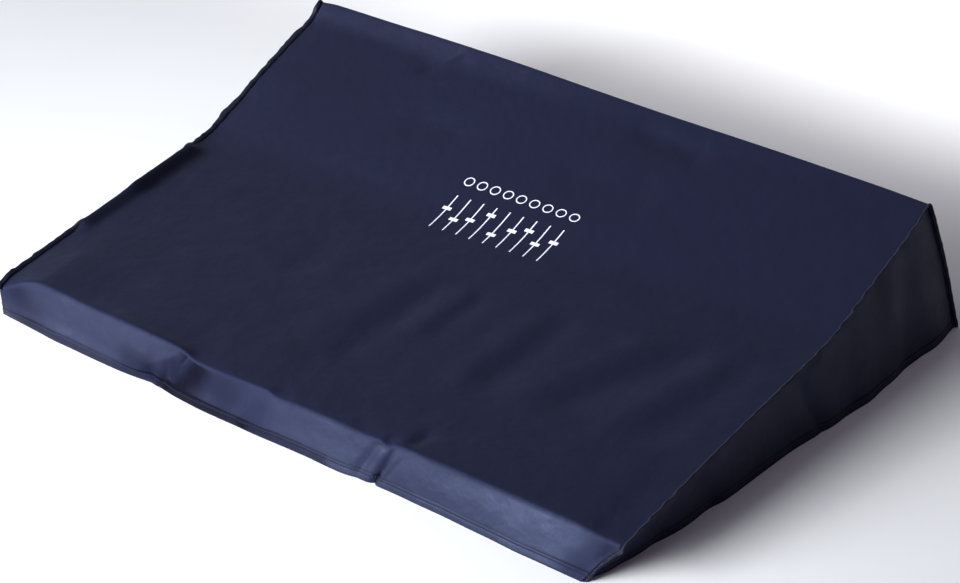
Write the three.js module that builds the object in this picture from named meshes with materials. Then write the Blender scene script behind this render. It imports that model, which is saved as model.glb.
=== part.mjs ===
// A loose dust cover for a sloped mixing desk, standing in the desk's shape and open below.
// Millimetres, +Z up. The front faces -Y, +X is the user's right, and the hem stands on z = 0.
// One long strip of coated cloth is the front skirt, the top and the back drop. A wedge-shaped
// gusset closes each side, and a folded tape binds each side seam.

import * as THREE from 'three';

// Driving sizes
const SEAM_X = 417.5; // from the middle to a side seam, across the top
const CLOTH = 1.6; // thickness of the coated cloth
const HEM_THICK = 3.0; // thickness of the turned-up hem
const HEM_DEPTH = 10; // height of the turned-up hem
const HEM_STEP = 1; // half the height over which the hem thins to the cloth
const EDGE_OVER = 1.5; // how far the strip reaches past the gusset's middle
const AIR = 0.55; // clearance between touching pieces
const SEAM_GAP = 1.0; // clearance between the strip's inside and a gusset's edge
const TAPE_HIGH = 6; // how far a seam tape stands out
const TAPE_END = 3; // the same at a tape's trimmed ends
const TAPE_THICK = 2.4;
const TAPE_NOSE = 0.7; // half the width of the tape's rounded lip
const TAPE_BY_GUSSET = 1.6; // clearance from a gusset's face where a tape is turned down beside it
const TWIST_CLEAR = 0.7; // extra clearance per radian of a tape's twist between two rows
const SHAPED_FROM = 250; // side shifts of a section fade out inside this distance from the middle

// A table with the columns x, y and z: a row for each place across the cover
const across = (...rows) => rows.map(([x, y, z]) => ({ x, y, z }));

// The strip's sections across, in order along the strip from the front hem to the back hem.
// round is how far the bend there reaches along each side and bends its number of steps. Between
// this bend and the next the strip is straight, with rows of points at the shares in cuts and at the
// heights in marks. out moves the two side seams outwards.
const HEM_LOW = HEM_DEPTH - HEM_STEP;
const HEM_HIGH = HEM_DEPTH + HEM_STEP;
const SECTIONS = [
  {
    name: 'front hem', round: 0, bends: 0, cuts: [], marks: [HEM_LOW, HEM_HIGH],
    out: { left: 5.5, right: -36 },
    rows: across(
      [-417.5, -284.2, 0], [-395, -286.2, 0], [-342, -290.6, 0], [-291, -293.4, 0],
      [-242, -294.6, 0], [-215, -293.4, 0], [-197, -292.4, 0], [-187, -294.6, 0], [-171, -297, 0],
      [-146, -299.4, 0], [-105, -301.6, 0], [-57, -302.6, 0], [33, -302, 0], [77, -303.5, 0],
      [97, -301.2, 0], [138, -300.8, 0], [181, -302.6, 0], [264, -306, 0], [345, -309, 0],
      [417.5, -310.8, 0],
    ),
  },
  {
    name: 'skirt middle', round: 8, bends: 2, cuts: [], marks: [],
    out: { left: 1, right: -20 },
    rows: across(
      [-417.5, -290, 27], [-395, -286.8, 28], [-372, -284.5, 28], [-338, -285, 28],
      [-308, -286.5, 28], [-260, -291, 29], [-213, -293.5, 31], [-185, -293, 35],
      [-158, -291.5, 46], [-140, -292.5, 40], [-120, -294, 28], [-55, -295, 28], [110, -296, 28],
      [150, -297, 28], [255, -299.5, 28], [417.5, -300, 25],
    ),
  },
  {
    name: 'front fold', round: 2.2, bends: 3, marks: [],
    cuts: [0.05, 0.12, 0.26, 0.42, 0.58, 0.74, 0.88],
    out: { left: 0, right: 0 },
    rows: across(
      [-417.5, -289.5, 43], [-404, -288, 48], [-386, -283, 53.2], [-366, -280, 57],
      [-330, -280, 55.6], [-300, -281, 54.4], [-240, -285, 55.8], [-180, -289, 54.6],
      [-120, -291.5, 52.2], [-40, -291.5, 51.4], [66, -291.5, 50.2], [208, -291.5, 51.6],
      [295, -291.5, 50.9], [367, -291.5, 49.4], [391, -291.5, 46.5], [417.5, -292, 46],
    ),
  },
  {
    name: 'front slope middle', round: 40, bends: 2, cuts: [0.16, 0.34, 0.5, 0.66, 0.84], marks: [],
    out: { left: 0, right: 0 },
    rows: across(
      [-417.5, -121, 60.5], [-250, -121, 62], [0, -121, 63.5], [250, -121, 67], [417.5, -121, 70.5],
    ),
  },
  {
    name: 'kink', round: 26, bends: 3, cuts: [0.3, 0.65], marks: [],
    out: { left: 0, right: 0 },
    rows: across(
      [-417.5, 46, 75], [-250, 48, 78], [0, 56, 83.5], [250, 64, 88], [417.5, 70, 91.5],
    ),
  },
  {
    name: 'rear slope middle', round: 30, bends: 2, cuts: [0.35, 0.7], marks: [],
    out: { left: 0, right: 0 },
    rows: across(
      [-417.5, 149, 114.5], [-250, 149, 115], [0, 149, 117], [250, 149, 118.5], [417.5, 149, 120],
    ),
  },
  {
    name: 'foot of the back rise', round: 9, bends: 2, cuts: [0.5], marks: [],
    out: { left: 0, right: 0 },
    rows: across(
      [-417.5, 250, 149.3], [-390, 249, 151.2], [-300, 249, 152.2], [-240, 249, 153.4],
      [-205, 246, 154.3], [0, 245, 155], [250, 245, 155.5], [417.5, 245, 156],
    ),
  },
  {
    name: 'back edge', round: 3.5, bends: 2, cuts: [0.4, 0.75], marks: [],
    out: { left: 0, right: -3.5 },
    rows: across(
      [-417.5, 268.5, 167.3], [-396, 271, 168.3], [-300, 271, 169.4], [-247, 271, 170.6],
      [-150, 271, 171.2], [0, 271, 169], [92, 271, 168.2], [200, 271, 168.5], [350, 271, 167.3],
      [417.5, 270, 166],
    ),
  },
  {
    name: 'back drop middle', round: 24, bends: 2, cuts: [0.4], marks: [HEM_HIGH, HEM_LOW],
    out: { left: 8, right: 8.6 },
    rows: across(
      [-417.5, 286, 88], [-250, 281, 88], [-60, 277, 88], [120, 280, 88], [290, 278, 88],
      [417.5, 289, 88],
    ),
  },
  {
    name: 'back hem', round: 0, bends: 0, cuts: [], marks: [],
    out: { left: 16.5, right: 18 },
    rows: across(
      [-417.5, 302, 0], [-300, 294, 0], [-180, 287, 0], [-40, 293, 0], [110, 286, 0],
      [250, 290, 0], [330, 296, 0], [417.5, 308, 0],
    ),
  },
];
const FOLD_SECTION = 2;
const BACK_EDGE_SECTION = 7;
const BEND_SHARE = 0.2; // how much of a section's count along the strip goes to its bend

// Steps and dents of the front fold: how far the fold is lifted at x
const FOLD_LIFT = [
  [-417.5, -4.5], [-404, -2.5], [-386, 0], [-270, 0.6], [-213, 2.6], [-155, 4.4], [-147, 3.4],
  [-130, -1.2], [-108, -1.6], [-60, 0.2], [-32, 0.8], [-16, -2.6], [10, -0.8], [66, 0],
  [100, -1.6], [118, -1], [128, -3.8], [137, -0.6], [145, 0.8], [208, 0.4], [280, 0], [417.5, 0],
].map(([x, up]) => ({ x, up }));
const FOLD_LIFT_REACH = 9; // how far behind the fold these fade out

// The angle of each seam tape from the strip's outward direction, in degrees. x is the place along
// the strip, in sections.
const TAPE_TURNS = [
  { x: 0, left: 122, right: 118 },
  { x: 1.5, left: 122, right: 112 },
  { x: 1.88, left: 60, right: 85 },
  { x: 2, left: 30, right: 60 },
  { x: 2.15, left: 38, right: 50 },
  { x: 2.4, left: 52, right: 46 },
  { x: 2.8, left: 56, right: 45 },
  { x: 2.88, left: 90, right: 45 },
  { x: 2.96, left: 125, right: 45 },
  { x: 3.85, left: 125, right: 45 },
  { x: 4, left: 60, right: 44 },
  { x: 4.4, left: 72, right: 45 },
  { x: 6.2, left: 72, right: 45 },
  { x: 6.9, left: 40, right: 60 },
  { x: 7, left: 60, right: 85 },
  { x: 7.4, left: 60, right: 62 },
  { x: 9, left: 45, right: 50 },
];

// Places across at which the strip is cut into faces: from the last place to this one, in steps
const COLUMNS = [
  { to: -417.5, steps: 1 }, { to: -403.5, steps: 2 }, { to: -376, steps: 2 }, { to: -208, steps: 5 },
  { to: -124, steps: 16 }, { to: 90, steps: 7 }, { to: 150, steps: 12 }, { to: 356, steps: 7 },
  { to: 403.5, steps: 2 }, { to: 417.5, steps: 1 }, { to: 419, steps: 1 },
];

// Soft folds and creases: a line between two places, how wide and how high it stands out.
// A trough has a negative height.
const folds = (...rows) => rows.map(([a1, b1, a2, b2, width, height]) => ({
  from: new THREE.Vector2(a1, b1), to: new THREE.Vector2(a2, b2), width, height,
}));

// On the top, columns: from x, from y, to x, to y, width, height
const TOP_FOLDS = folds(
  [-417.5, -158, -417.5, 20, 9, 6.0], // the raised lip along the left seam
  [-417.5, -70, -417.5, 22, 13, 2.2],
  [-417.5, 72, -417.5, 112, 22, -2.5], // the dip in that seam behind the kink
  [-60, -165, -24, -45, 24, 1.7],
  [-8, -185, 2, -60, 20, -2.3],
  [27, -112, 39, -52, 16, 1.3],
  [54, -114, 56, -50, 14, -1.7],
  [124, -155, 134, -60, 22, 1.9],
  [154, -148, 160, -46, 20, -2.4],
  [204, -150, 252, -32, 24, 2.1],
  [244, -140, 306, -12, 24, -2.3],
  [304, -155, 344, -30, 22, 1.9],
  [352, -130, 370, -12, 22, -2.0],
  [-154, -96, -156, -50, 20, -1.8],
  [-120, -240, -64, -226, 20, 2.0],
  [75, 238, 142, 236, 14, -2.4],
  [34, 158, 114, 170, 22, -1.6],
  [-181, 160, -136, 164, 22, -1.6],
  [-232, 232, -206, 262, 8, -3.0], // the crease that ends the steep band at the back left
  [152, -279, 156, -262, 8, -3.0],
);

// On the front skirt, columns: from x, from z, to x, to z, width, height
const SKIRT_FOLDS = folds(
  [-192, 30, -198, 10, 10, -1.2],
  [60, 30, 52, 6, 22, 0.8],
  [-60, 36, -72, 8, 26, -0.8],
  [214, 30, 206, 6, 24, -0.8],
  [318, 36, 310, 8, 26, 0.9],
  [-330, 34, -338, 8, 20, 0.8],
  [-405, 10.5, -215, 10.5, 7, 1.4], // the hem turns in a little below this ridge
  [-160, 10.5, -30, 10.5, 7, 1.6],
);

// Creases pressed into the front skirt, columns: from x, from z, width, depth, to x, to z, width,
// depth, width of the steep side, depth behind it, how far that reaches. The cloth sinks from the
// left up to the crease. Behind the steep side it comes back slowly, or it is back at once.
const SKIRT_CREASES = [
  [-150, 49, 5, 0.8, -184, 4, 26, 4.0, 3, 6.5, 30],
  [121, 52, 8, 1.8, 96, 8, 9, 2.0, 9, 0, 1],
  [137, 44, 7, 1.5, 113, -4, 7, 5.5, 3, 0, 1],
  [147, 36, 4, 0.6, 128, 8, 4, 1.2, 3, 0, 1],
].map(([a1, b1, wideFrom, deepFrom, a2, b2, wideTo, deepTo, steep, behind, reach]) => ({
  from: new THREE.Vector2(a1, b1), to: new THREE.Vector2(a2, b2), wideFrom, wideTo, deepFrom,
  deepTo, steep, behind, reach,
}));
const CREASE_END = 7; // distance over which a crease fades out past its ends
const CREASE_SPREAD = 20; // how much this distance may grow behind the crease
const CREASE_AT_HEM = 0.35; // share of a crease's depth that is left at the floor
const CREASE_FULL_FROM = 3; // heights between which it grows to its full depth
const CREASE_FULL_AT = 20;

// On the back drop, columns: from x, from z, to x, to z, width, height
const BACK_FOLDS = folds(
  [-300, 130, -322, 0, 30, 4.0],
  [-236, 110, -240, 0, 26, -4.0],
  [-90, 150, -60, 20, 34, -3.5],
  [40, 120, 66, 0, 28, 4.5],
  [182, 140, 176, 10, 26, -4.0],
  [344, 150, 322, 10, 26, -3.5],
);

// On the right gusset, columns: from y, from z, to y, to z, width, height
const RIGHT_FOLDS = folds(
  [16, 82, 46, 6, 6.5, -3.6],
  [48, 88, 72, 10, 16, 2.2],
  [186, 100, 172, 14, 18, 2.0],
  [214, 110, 206, 10, 18, -1.6],
  [-150, 50, -140, 6, 16, -1.8],
  [-214, 46, -230, 4, 14, 1.6],
);

// On the left gusset, with the same columns
const LEFT_FOLDS = folds(
  [36, 70, 28, 4, 16, -4.0],
  [96, 88, 110, 8, 20, 3.5],
  [190, 110, 196, 10, 20, -3.5],
  [-110, 54, -104, 6, 18, 2.5],
);

// Where each gusset's hem stands on the floor, columns: y and x
const hemLine = (...rows) => rows.map(([y, x]) => ({ x: y, out: x }));
const RIGHT_HEM = hemLine(
  [-309, 386.5], [-292, 392], [-265, 395.5], [-250, 399], [-224, 400.5], [-205, 406],
  [-183, 410.5], [-133, 415], [-110, 418.5], [-55, 421], [0, 424], [25, 427.3], [49, 431.5],
  [79, 433], [104, 436.7], [131, 440], [167, 437.4], [233, 437.5], [262, 440.3], [305, 437.5],
);
const LEFT_HEM = hemLine(
  [-287, 423], [-236, 423.5], [-160, 429], [-90, 431.5], [-30, 427], [40, 433], [110, 439],
  [180, 435.5], [250, 439], [302, 434],
);
const GUSSET_CUTS = [0.3, 0.62]; // places up a gusset between its hem and its seam
const GUSSET_CALM = 0.12; // share of a gusset over which its folds fade out at the seams
const HEM_JOIN = 0.06; // share of a gusset's hem that bends to meet the strip's corner

// The value of a table's column at x, on a smooth curve through the rows that never overshoots
function valueAt(rows, x, column) {
  const last = rows.length - 1;
  const steepness = (k) => (rows[k + 1][column] - rows[k][column]) / (rows[k + 1].x - rows[k].x);
  const slope = (k) => {
    if (k === 0) return steepness(0);
    if (k === last) return steepness(last - 1);
    const before = steepness(k - 1);
    const after = steepness(k);
    return before * after <= 0 ? 0 : (2 * before * after) / (before + after);
  };
  let k = 0;
  while (k < last - 1 && x > rows[k + 1].x) k += 1;
  const span = rows[k + 1].x - rows[k].x;
  const t = THREE.MathUtils.clamp((x - rows[k].x) / span, 0, 1);
  const rest = 1 - t;
  return rows[k][column] * rest * rest * (1 + 2 * t) + rows[k + 1][column] * t * t * (3 - 2 * t)
    + slope(k) * span * t * rest * rest - slope(k + 1) * span * t * t * rest;
}

// How far a fold table lifts the cloth at a place
function lift(table, a, b) {
  const place = new THREE.Vector2(a, b);
  let sum = 0;
  for (const fold of table) {
    const along = fold.to.clone().sub(fold.from);
    const t = place.clone().sub(fold.from).dot(along) / along.lengthSq();
    const nearest = fold.from.clone().addScaledVector(along, THREE.MathUtils.clamp(t, 0, 1));
    sum += fold.height * Math.exp(-((place.distanceTo(nearest) / fold.width) ** 2));
  }
  return sum;
}

// How far the pressed creases sink the skirt at a place
function creaseDepth(a, b) {
  const { lerp, clamp, smoothstep } = THREE.MathUtils;
  const place = new THREE.Vector2(a, b);
  const atHeight = lerp(CREASE_AT_HEM, 1, smoothstep(b, CREASE_FULL_FROM, CREASE_FULL_AT));
  let sum = 0;
  for (const crease of SKIRT_CREASES) {
    const along = crease.to.clone().sub(crease.from);
    const offset = place.clone().sub(crease.from);
    const reached = offset.dot(along) / along.lengthSq();
    const t = clamp(reached, 0, 1);
    const beyond = Math.abs(reached - t) * along.length();
    const aside = along.cross(offset) / along.length();
    const deep = lerp(crease.deepFrom, crease.deepTo, t);
    const before = deep * clamp(1 + aside / lerp(crease.wideFrom, crease.wideTo, t), 0, 1);
    const behind = crease.behind * Math.exp(-aside / crease.reach);
    const after = lerp(deep, behind, smoothstep(aside, 0, crease.steep));
    const fade = Math.exp(-((beyond / (CREASE_END + clamp(aside, 0, CREASE_SPREAD))) ** 2));
    sum += fade * atHeight * (aside < 0 ? before : after);
  }
  return sum;
}

// One section's point at x, with its share of the side seam's shift
function sectionPoint(section, x) {
  const side = x < 0 ? -section.out.left : section.out.right;
  const share = THREE.MathUtils.smoothstep(Math.abs(x), SHAPED_FROM, SEAM_X);
  return new THREE.Vector3(x + side * share, valueAt(section.rows, x, 'y'), valueAt(section.rows, x, 'z'));
}

// The strip's line from front hem to back hem at x. Each point keeps how far round a bend it is,
// its place along the strip, counted in sections, and whether it is in a hem.
function stripLine(x) {
  const corners = SECTIONS.map((section) => sectionPoint(section, x));
  const bendAt = corners.map((corner, k) => {
    const before = corners[k - 1];
    const after = corners[k + 1];
    if (!before || !after) return new THREE.QuadraticBezierCurve3(corner, corner, corner);
    const room = Math.min(corner.distanceTo(before), corner.distanceTo(after));
    const reach = Math.min(SECTIONS[k].round, 0.45 * room);
    const start = corner.clone().add(before.clone().sub(corner).setLength(reach));
    const end = corner.clone().add(after.clone().sub(corner).setLength(reach));
    return new THREE.QuadraticBezierCurve3(start, corner, end);
  });
  const line = [];
  SECTIONS.forEach(({ bends, cuts, marks }, k) => {
    for (let step = 0; step <= bends; step += 1) {
      const bend = bends ? step / bends : 0;
      const along = k + BEND_SHARE * (bend - 0.5);
      line.push({ point: bendAt[k].getPoint(bend), along, bendOf: k, bend, hem: !bends });
    }
    if (k === corners.length - 1) return;
    const from = bendAt[k].v2;
    const to = bendAt[k + 1].v0;
    const shares = [...cuts, ...marks.map((z) => (z - from.z) / (to.z - from.z))];
    for (const share of shares) {
      const point = from.clone().lerp(to, share);
      const along = k + BEND_SHARE / 2 + (1 - BEND_SHARE) * share;
      line.push({ point, along, bendOf: null, bend: null, hem: point.z < HEM_DEPTH });
    }
  });
  return line;
}

// The place of every column, from the tables
function columnPlaces() {
  const places = [-SEAM_X - EDGE_OVER];
  for (const { to, steps } of COLUMNS) {
    const from = places[places.length - 1];
    for (let step = 1; step <= steps; step += 1) places.push(from + ((to - from) * step) / steps);
  }
  return places;
}

// Outward directions of a grid of points, from each point's neighbours
function normalsOf(grid) {
  const lastColumn = grid.length - 1;
  const lastRow = grid[0].length - 1;
  return grid.map((column, i) => column.map((_, j) => {
    const right = grid[Math.min(i + 1, lastColumn)][j].clone().sub(grid[Math.max(i - 1, 0)][j]);
    const up = grid[i][Math.min(j + 1, lastRow)].clone().sub(grid[i][Math.max(j - 1, 0)]);
    return right.cross(up).normalize();
  }));
}

// A closed sheet of cloth around a grid of points. thickness is a row's thickness, and the first
// row, and the last where bothHems is true, is cut level on the floor.
function sheetGeometry(grid, thickness, bothHems) {
  const normals = normalsOf(grid);
  const columns = grid.length;
  const rows = grid[0].length;
  const positions = [];
  for (const half of [0.5, -0.5]) {
    grid.forEach((column, i) => column.forEach((point, j) => {
      const p = point.clone().addScaledVector(normals[i][j], half * thickness(i, j));
      if (j === 0 || (bothHems && j === rows - 1)) p.z = 0;
      positions.push(p.x, p.y, p.z);
    }));
  }
  const outer = (i, j) => i * rows + j;
  const inner = (i, j) => columns * rows + i * rows + j;
  const index = [];
  const quad = (a, b, c, d) => index.push(a, b, c, a, c, d);
  for (let i = 0; i < columns - 1; i += 1) {
    for (let j = 0; j < rows - 1; j += 1) {
      quad(outer(i, j), outer(i + 1, j), outer(i + 1, j + 1), outer(i, j + 1));
      quad(inner(i, j), inner(i, j + 1), inner(i + 1, j + 1), inner(i + 1, j));
    }
    quad(outer(i, 0), inner(i, 0), inner(i + 1, 0), outer(i + 1, 0));
    quad(outer(i, rows - 1), outer(i + 1, rows - 1), inner(i + 1, rows - 1), inner(i, rows - 1));
  }
  for (let j = 0; j < rows - 1; j += 1) {
    quad(outer(0, j), outer(0, j + 1), inner(0, j + 1), inner(0, j));
    const e = columns - 1;
    quad(outer(e, j), inner(e, j), inner(e, j + 1), outer(e, j + 1));
  }
  return closedGeometry(positions, index);
}

function closedGeometry(positions, index) {
  const geometry = new THREE.BufferGeometry();
  geometry.setAttribute('position', new THREE.Float32BufferAttribute(positions, 3));
  geometry.setIndex(index);
  geometry.computeVertexNormals();
  return geometry;
}

// The strip: its middle surface as a grid of columns across and rows along, with the folds in
const places = columnPlaces();
const lines = places.map(stripLine);
const rowFacts = lines[0].map(({ along, bendOf, bend, hem }) => ({ along, bendOf, bend, hem }));
const smooth = lines.map((line) => line.map(({ point }) => point));
const directions = normalsOf(smooth);

// The row in the middle of a section's bend
const bendRow = (section) => rowFacts.findIndex(({ bendOf, bend }) => bendOf === section && bend >= 0.5);
const foldRow = bendRow(FOLD_SECTION);
const edgeRow = bendRow(BACK_EDGE_SECTION);

// How far the front fold's steps lift the strip, fading out on both sides of the fold
function foldLift(x, along, distance) {
  const near = along < FOLD_SECTION
    ? THREE.MathUtils.smoothstep(along, FOLD_SECTION - 1, FOLD_SECTION - BEND_SHARE / 2)
    : Math.exp(-((distance / FOLD_LIFT_REACH) ** 2));
  return valueAt(FOLD_LIFT, x, 'up') * near;
}

const strip = smooth.map((column, i) => column.map((point, j) => {
  const { along, bendOf } = rowFacts[j];
  const x = places[i];
  let height = lift(TOP_FOLDS, x, point.y);
  if (along < FOLD_SECTION) {
    const below = 1 - THREE.MathUtils.smoothstep(along, FOLD_SECTION - 0.3, FOLD_SECTION - 0.05);
    height = below * (lift(SKIRT_FOLDS, x, point.z) - creaseDepth(x, point.z));
  }
  if (along > BACK_EDGE_SECTION) height = lift(BACK_FOLDS, x, point.z);
  if (bendOf === FOLD_SECTION || bendOf === BACK_EDGE_SECTION) height = 0;
  const moved = point.clone().addScaledVector(directions[i][j], height);
  moved.z += foldLift(x, along, point.distanceTo(column[foldRow]));
  if (j === 0 || j === column.length - 1) moved.z = 0;
  return moved;
}));
const lastRow = rowFacts.length - 1;
const stripThickness = (i, j) => (rowFacts[j].hem ? HEM_THICK : CLOTH);
const stripNormals = normalsOf(strip);

// A side seam, as facts about the strip along it. lean is the outward direction without the folds,
// and corners are the two corners of the strip's cut edge beside the seam.
function seamOf(side) {
  const column = side === 'left' ? 1 : places.length - 2;
  const edge = side === 'left' ? 0 : places.length - 1;
  return rowFacts.map((fact, j) => {
    const thickness = stripThickness(column, j);
    const corners = [0.5, -0.5].map((half) => (
      strip[edge][j].clone().addScaledVector(stripNormals[edge][j], half * thickness)));
    return {
      ...fact, thickness, corners, point: strip[column][j], normal: stripNormals[column][j],
      lean: directions[column][j],
    };
  });
}

// A point at a share of the way along a line of points
function alongLine(line, share) {
  const lengths = [0];
  for (let k = 1; k < line.length; k += 1) lengths.push(lengths[k - 1] + line[k].distanceTo(line[k - 1]));
  const wanted = share * lengths[line.length - 1];
  let k = 1;
  while (k < line.length - 1 && lengths[k] < wanted) k += 1;
  return line[k - 1].clone().lerp(line[k], (wanted - lengths[k - 1]) / (lengths[k] - lengths[k - 1]));
}

// A gusset: a patch between its front seam, its top seam, its back seam and its hem
function gussetGrid(side, hemTable, foldTable) {
  const sign = side === 'left' ? -1 : 1;
  const seam = seamOf(side).map(({ point, normal, thickness }) => (
    point.clone().addScaledVector(normal, -(thickness / 2 + SEAM_GAP))));
  seam[0].z = 0;
  seam[lastRow].z = 0;
  const frontLine = seam.slice(0, foldRow + 1);
  const topLine = seam.slice(foldRow, edgeRow + 1);
  const backLine = seam.slice(edgeRow).reverse();
  const hemEnds = [seam[0], seam[lastRow]];
  const hemPoint = (s) => {
    const y = THREE.MathUtils.lerp(hemEnds[0].y, hemEnds[1].y, s);
    return new THREE.Vector3(sign * valueAt(hemTable, y, 'out'), y, 0);
  };
  const endErrors = [hemEnds[0].clone().sub(hemPoint(0)), hemEnds[1].clone().sub(hemPoint(1))];
  const topFrom = topLine[0];
  const topTo = topLine[topLine.length - 1];
  const grid = topLine.map((top) => {
    const s = (top.y - topFrom.y) / (topTo.y - topFrom.y);
    const low = hemPoint(s)
      .addScaledVector(endErrors[0], 1 - THREE.MathUtils.smoothstep(s, 0, HEM_JOIN))
      .addScaledVector(endErrors[1], THREE.MathUtils.smoothstep(s, 1 - HEM_JOIN, 1));
    const height = low.distanceTo(top);
    const hemTop = HEM_HIGH / height;
    const shares = [0, HEM_LOW / height, hemTop];
    for (const cut of GUSSET_CUTS) shares.push(THREE.MathUtils.lerp(hemTop, 1, cut));
    shares.push(1);
    return shares.map((w) => {
      const corners = hemEnds[0].clone().multiplyScalar((1 - s) * (1 - w))
        .addScaledVector(hemEnds[1], s * (1 - w))
        .addScaledVector(topFrom, (1 - s) * w)
        .addScaledVector(topTo, s * w);
      const point = low.clone().multiplyScalar(1 - w).addScaledVector(top, w)
        .addScaledVector(alongLine(frontLine, w), 1 - s)
        .addScaledVector(alongLine(backLine, w), s)
        .sub(corners);
      const calm = THREE.MathUtils.smoothstep(Math.min(s, 1 - s, 1 - w), 0, GUSSET_CALM);
      point.x += sign * calm * lift(foldTable, point.y, point.z);
      return point;
    });
  });
  return side === 'left' ? grid.reverse() : grid;
}

function gussetGeometry(side, hemTable, foldTable) {
  const thickness = (i, j) => (j <= 1 ? HEM_THICK : CLOTH);
  return sheetGeometry(gussetGrid(side, hemTable, foldTable), thickness, false);
}

// A seam tape: a folded strip that stands out from the seam, its foot just clear of the cloth
function tapeGeometry(side) {
  const seam = seamOf(side);
  const sign = side === 'left' ? -1 : 1;
  const turnAt = (along) => THREE.MathUtils.degToRad(valueAt(TAPE_TURNS, along, side));
  const half = TAPE_THICK / 2;
  const outline = (high) => [
    [-half, 0], [half, 0], [half, high - half], [TAPE_NOSE, high], [-TAPE_NOSE, high],
    [-half, high - half],
  ];
  const positions = [];
  seam.forEach(({ point, lean, corners, along, thickness }, j) => {
    const last = seam[Math.max(j - 1, 0)];
    const next = seam[Math.min(j + 1, lastRow)];
    const ahead = next.point.clone().sub(last.point).normalize();
    const outwards = new THREE.Vector3().crossVectors(ahead, lean).setLength(1);
    const angle = turnAt(along);
    const twist = Math.abs(turnAt(next.along) - turnAt(last.along));
    const slant = Math.abs(Math.cos(angle));
    const rise = lean.clone().multiplyScalar(Math.cos(angle))
      .addScaledVector(outwards, sign * Math.sin(angle));
    const wide = new THREE.Vector3().crossVectors(ahead, rise).normalize();
    const overStrip = AIR + Math.max(...corners.map((corner) => corner.clone().sub(point).dot(rise)));
    const overGusset = (thickness / 2 + TAPE_BY_GUSSET + half * slant) / Math.sin(angle);
    const clear = angle > Math.PI / 2 ? Math.max(overStrip, overGusset) : overStrip;
    const foot = clear + TWIST_CLEAR * twist;
    const atEnd = j === 0 || j === lastRow;
    for (const [w, h] of outline(atEnd ? TAPE_END : TAPE_HIGH)) {
      const p = point.clone().addScaledVector(rise, foot + h).addScaledVector(wide, w);
      if (atEnd) p.addScaledVector(ahead, (AIR - p.z) / ahead.z);
      positions.push(p.x, p.y, p.z);
    }
  });
  const n = outline(TAPE_HIGH).length;
  const index = [];
  for (let j = 0; j < lastRow; j += 1) {
    for (let k = 0; k < n; k += 1) {
      const next = (k + 1) % n;
      const [a, b, c, d] = [j * n + k, j * n + next, (j + 1) * n + next, (j + 1) * n + k];
      index.push(a, c, b, a, d, c);
    }
  }
  for (let k = 1; k < n - 1; k += 1) {
    index.push(0, k, k + 1);
    index.push(lastRow * n, lastRow * n + k + 1, lastRow * n + k);
  }
  return closedGeometry(positions, index);
}

// The pieces and their finish
const NAVY = 0x24263f;
const TAPE_NAVY = 0x1d1f33;
const clothLook = () => new THREE.MeshStandardMaterial({ color: NAVY, roughness: 0.55, metalness: 0 });
const tapeLook = () => new THREE.MeshStandardMaterial({ color: TAPE_NAVY, roughness: 0.6, metalness: 0 });

function piece(name, geometry, material) {
  const mesh = new THREE.Mesh(geometry, material);
  mesh.name = name;
  return mesh;
}

const cover = new THREE.Group();
cover.name = 'mixer_cover';
cover.add(
  piece('body_panel', sheetGeometry(strip, stripThickness, true), clothLook()),
  piece('right_gusset', gussetGeometry('right', RIGHT_HEM, RIGHT_FOLDS), clothLook()),
  piece('left_gusset', gussetGeometry('left', LEFT_HEM, LEFT_FOLDS), clothLook()),
  piece('right_binding', tapeGeometry('right'), tapeLook()),
  piece('left_binding', tapeGeometry('left'), tapeLook()),
);

export default cover;
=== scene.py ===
# %% [markdown]
# # A dust cover for a sloped mixing desk
# The cover is one long strip of coated nylon that runs from the front hem over the top to the back
# hem. A wedge-shaped gusset closes each side, and a folded tape binds each side seam. It stands in
# the shape of the desk that it was cut for, and it is open below. This lesson sews it again in
# Blender: first the cutting tables, then the cloth, the tapes, the stitches and the print, and
# last the finishes and the light.

# %% The packed model and the tools
import math
import bpy
import numpy as np
from mathutils import Matrix, Vector


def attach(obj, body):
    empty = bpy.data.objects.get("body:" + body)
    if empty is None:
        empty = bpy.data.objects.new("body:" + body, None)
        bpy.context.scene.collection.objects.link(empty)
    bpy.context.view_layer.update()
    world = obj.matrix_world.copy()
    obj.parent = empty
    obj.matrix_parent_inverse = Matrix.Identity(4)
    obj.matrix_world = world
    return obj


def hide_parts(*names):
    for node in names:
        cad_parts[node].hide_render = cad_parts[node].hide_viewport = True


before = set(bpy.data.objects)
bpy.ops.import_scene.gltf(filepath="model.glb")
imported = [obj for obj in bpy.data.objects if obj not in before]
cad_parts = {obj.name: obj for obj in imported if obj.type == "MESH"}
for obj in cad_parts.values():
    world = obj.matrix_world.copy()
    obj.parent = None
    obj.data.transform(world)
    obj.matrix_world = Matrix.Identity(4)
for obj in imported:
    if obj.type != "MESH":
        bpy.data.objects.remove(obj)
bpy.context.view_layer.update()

MM = 0.001
print("nodes:", ", ".join(sorted(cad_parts)))

# %% [markdown]
# ## The camera
# A camera is easiest to place before the thing it looks at. It stands to the right of the cover
# and looks down at 31 degrees. It is turned about its own axis by about one degree, which no
# aiming tool gives, so its three directions are worked out with cross products and put into its
# matrix.

# %% The camera
AZIMUTH, ELEVATION, ROLL = (math.radians(angle) for angle in (37.944, 31.005, -0.947))
AIM, DISTANCE = Vector((0.0336, -0.0148, 0.060)), 3.4311


def aimed_matrix(place, back, roll):
    """A camera's place and turn, with back as the direction from its aim to it."""
    side = Vector((0, 0, 1)).cross(back).normalized()
    up = back.cross(side)
    turned_side = side * math.cos(roll) + up * math.sin(roll)
    turned_up = up * math.cos(roll) - side * math.sin(roll)
    turn = Matrix((turned_side, turned_up, back)).transposed()
    return Matrix.Translation(place) @ turn.to_4x4()


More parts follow.
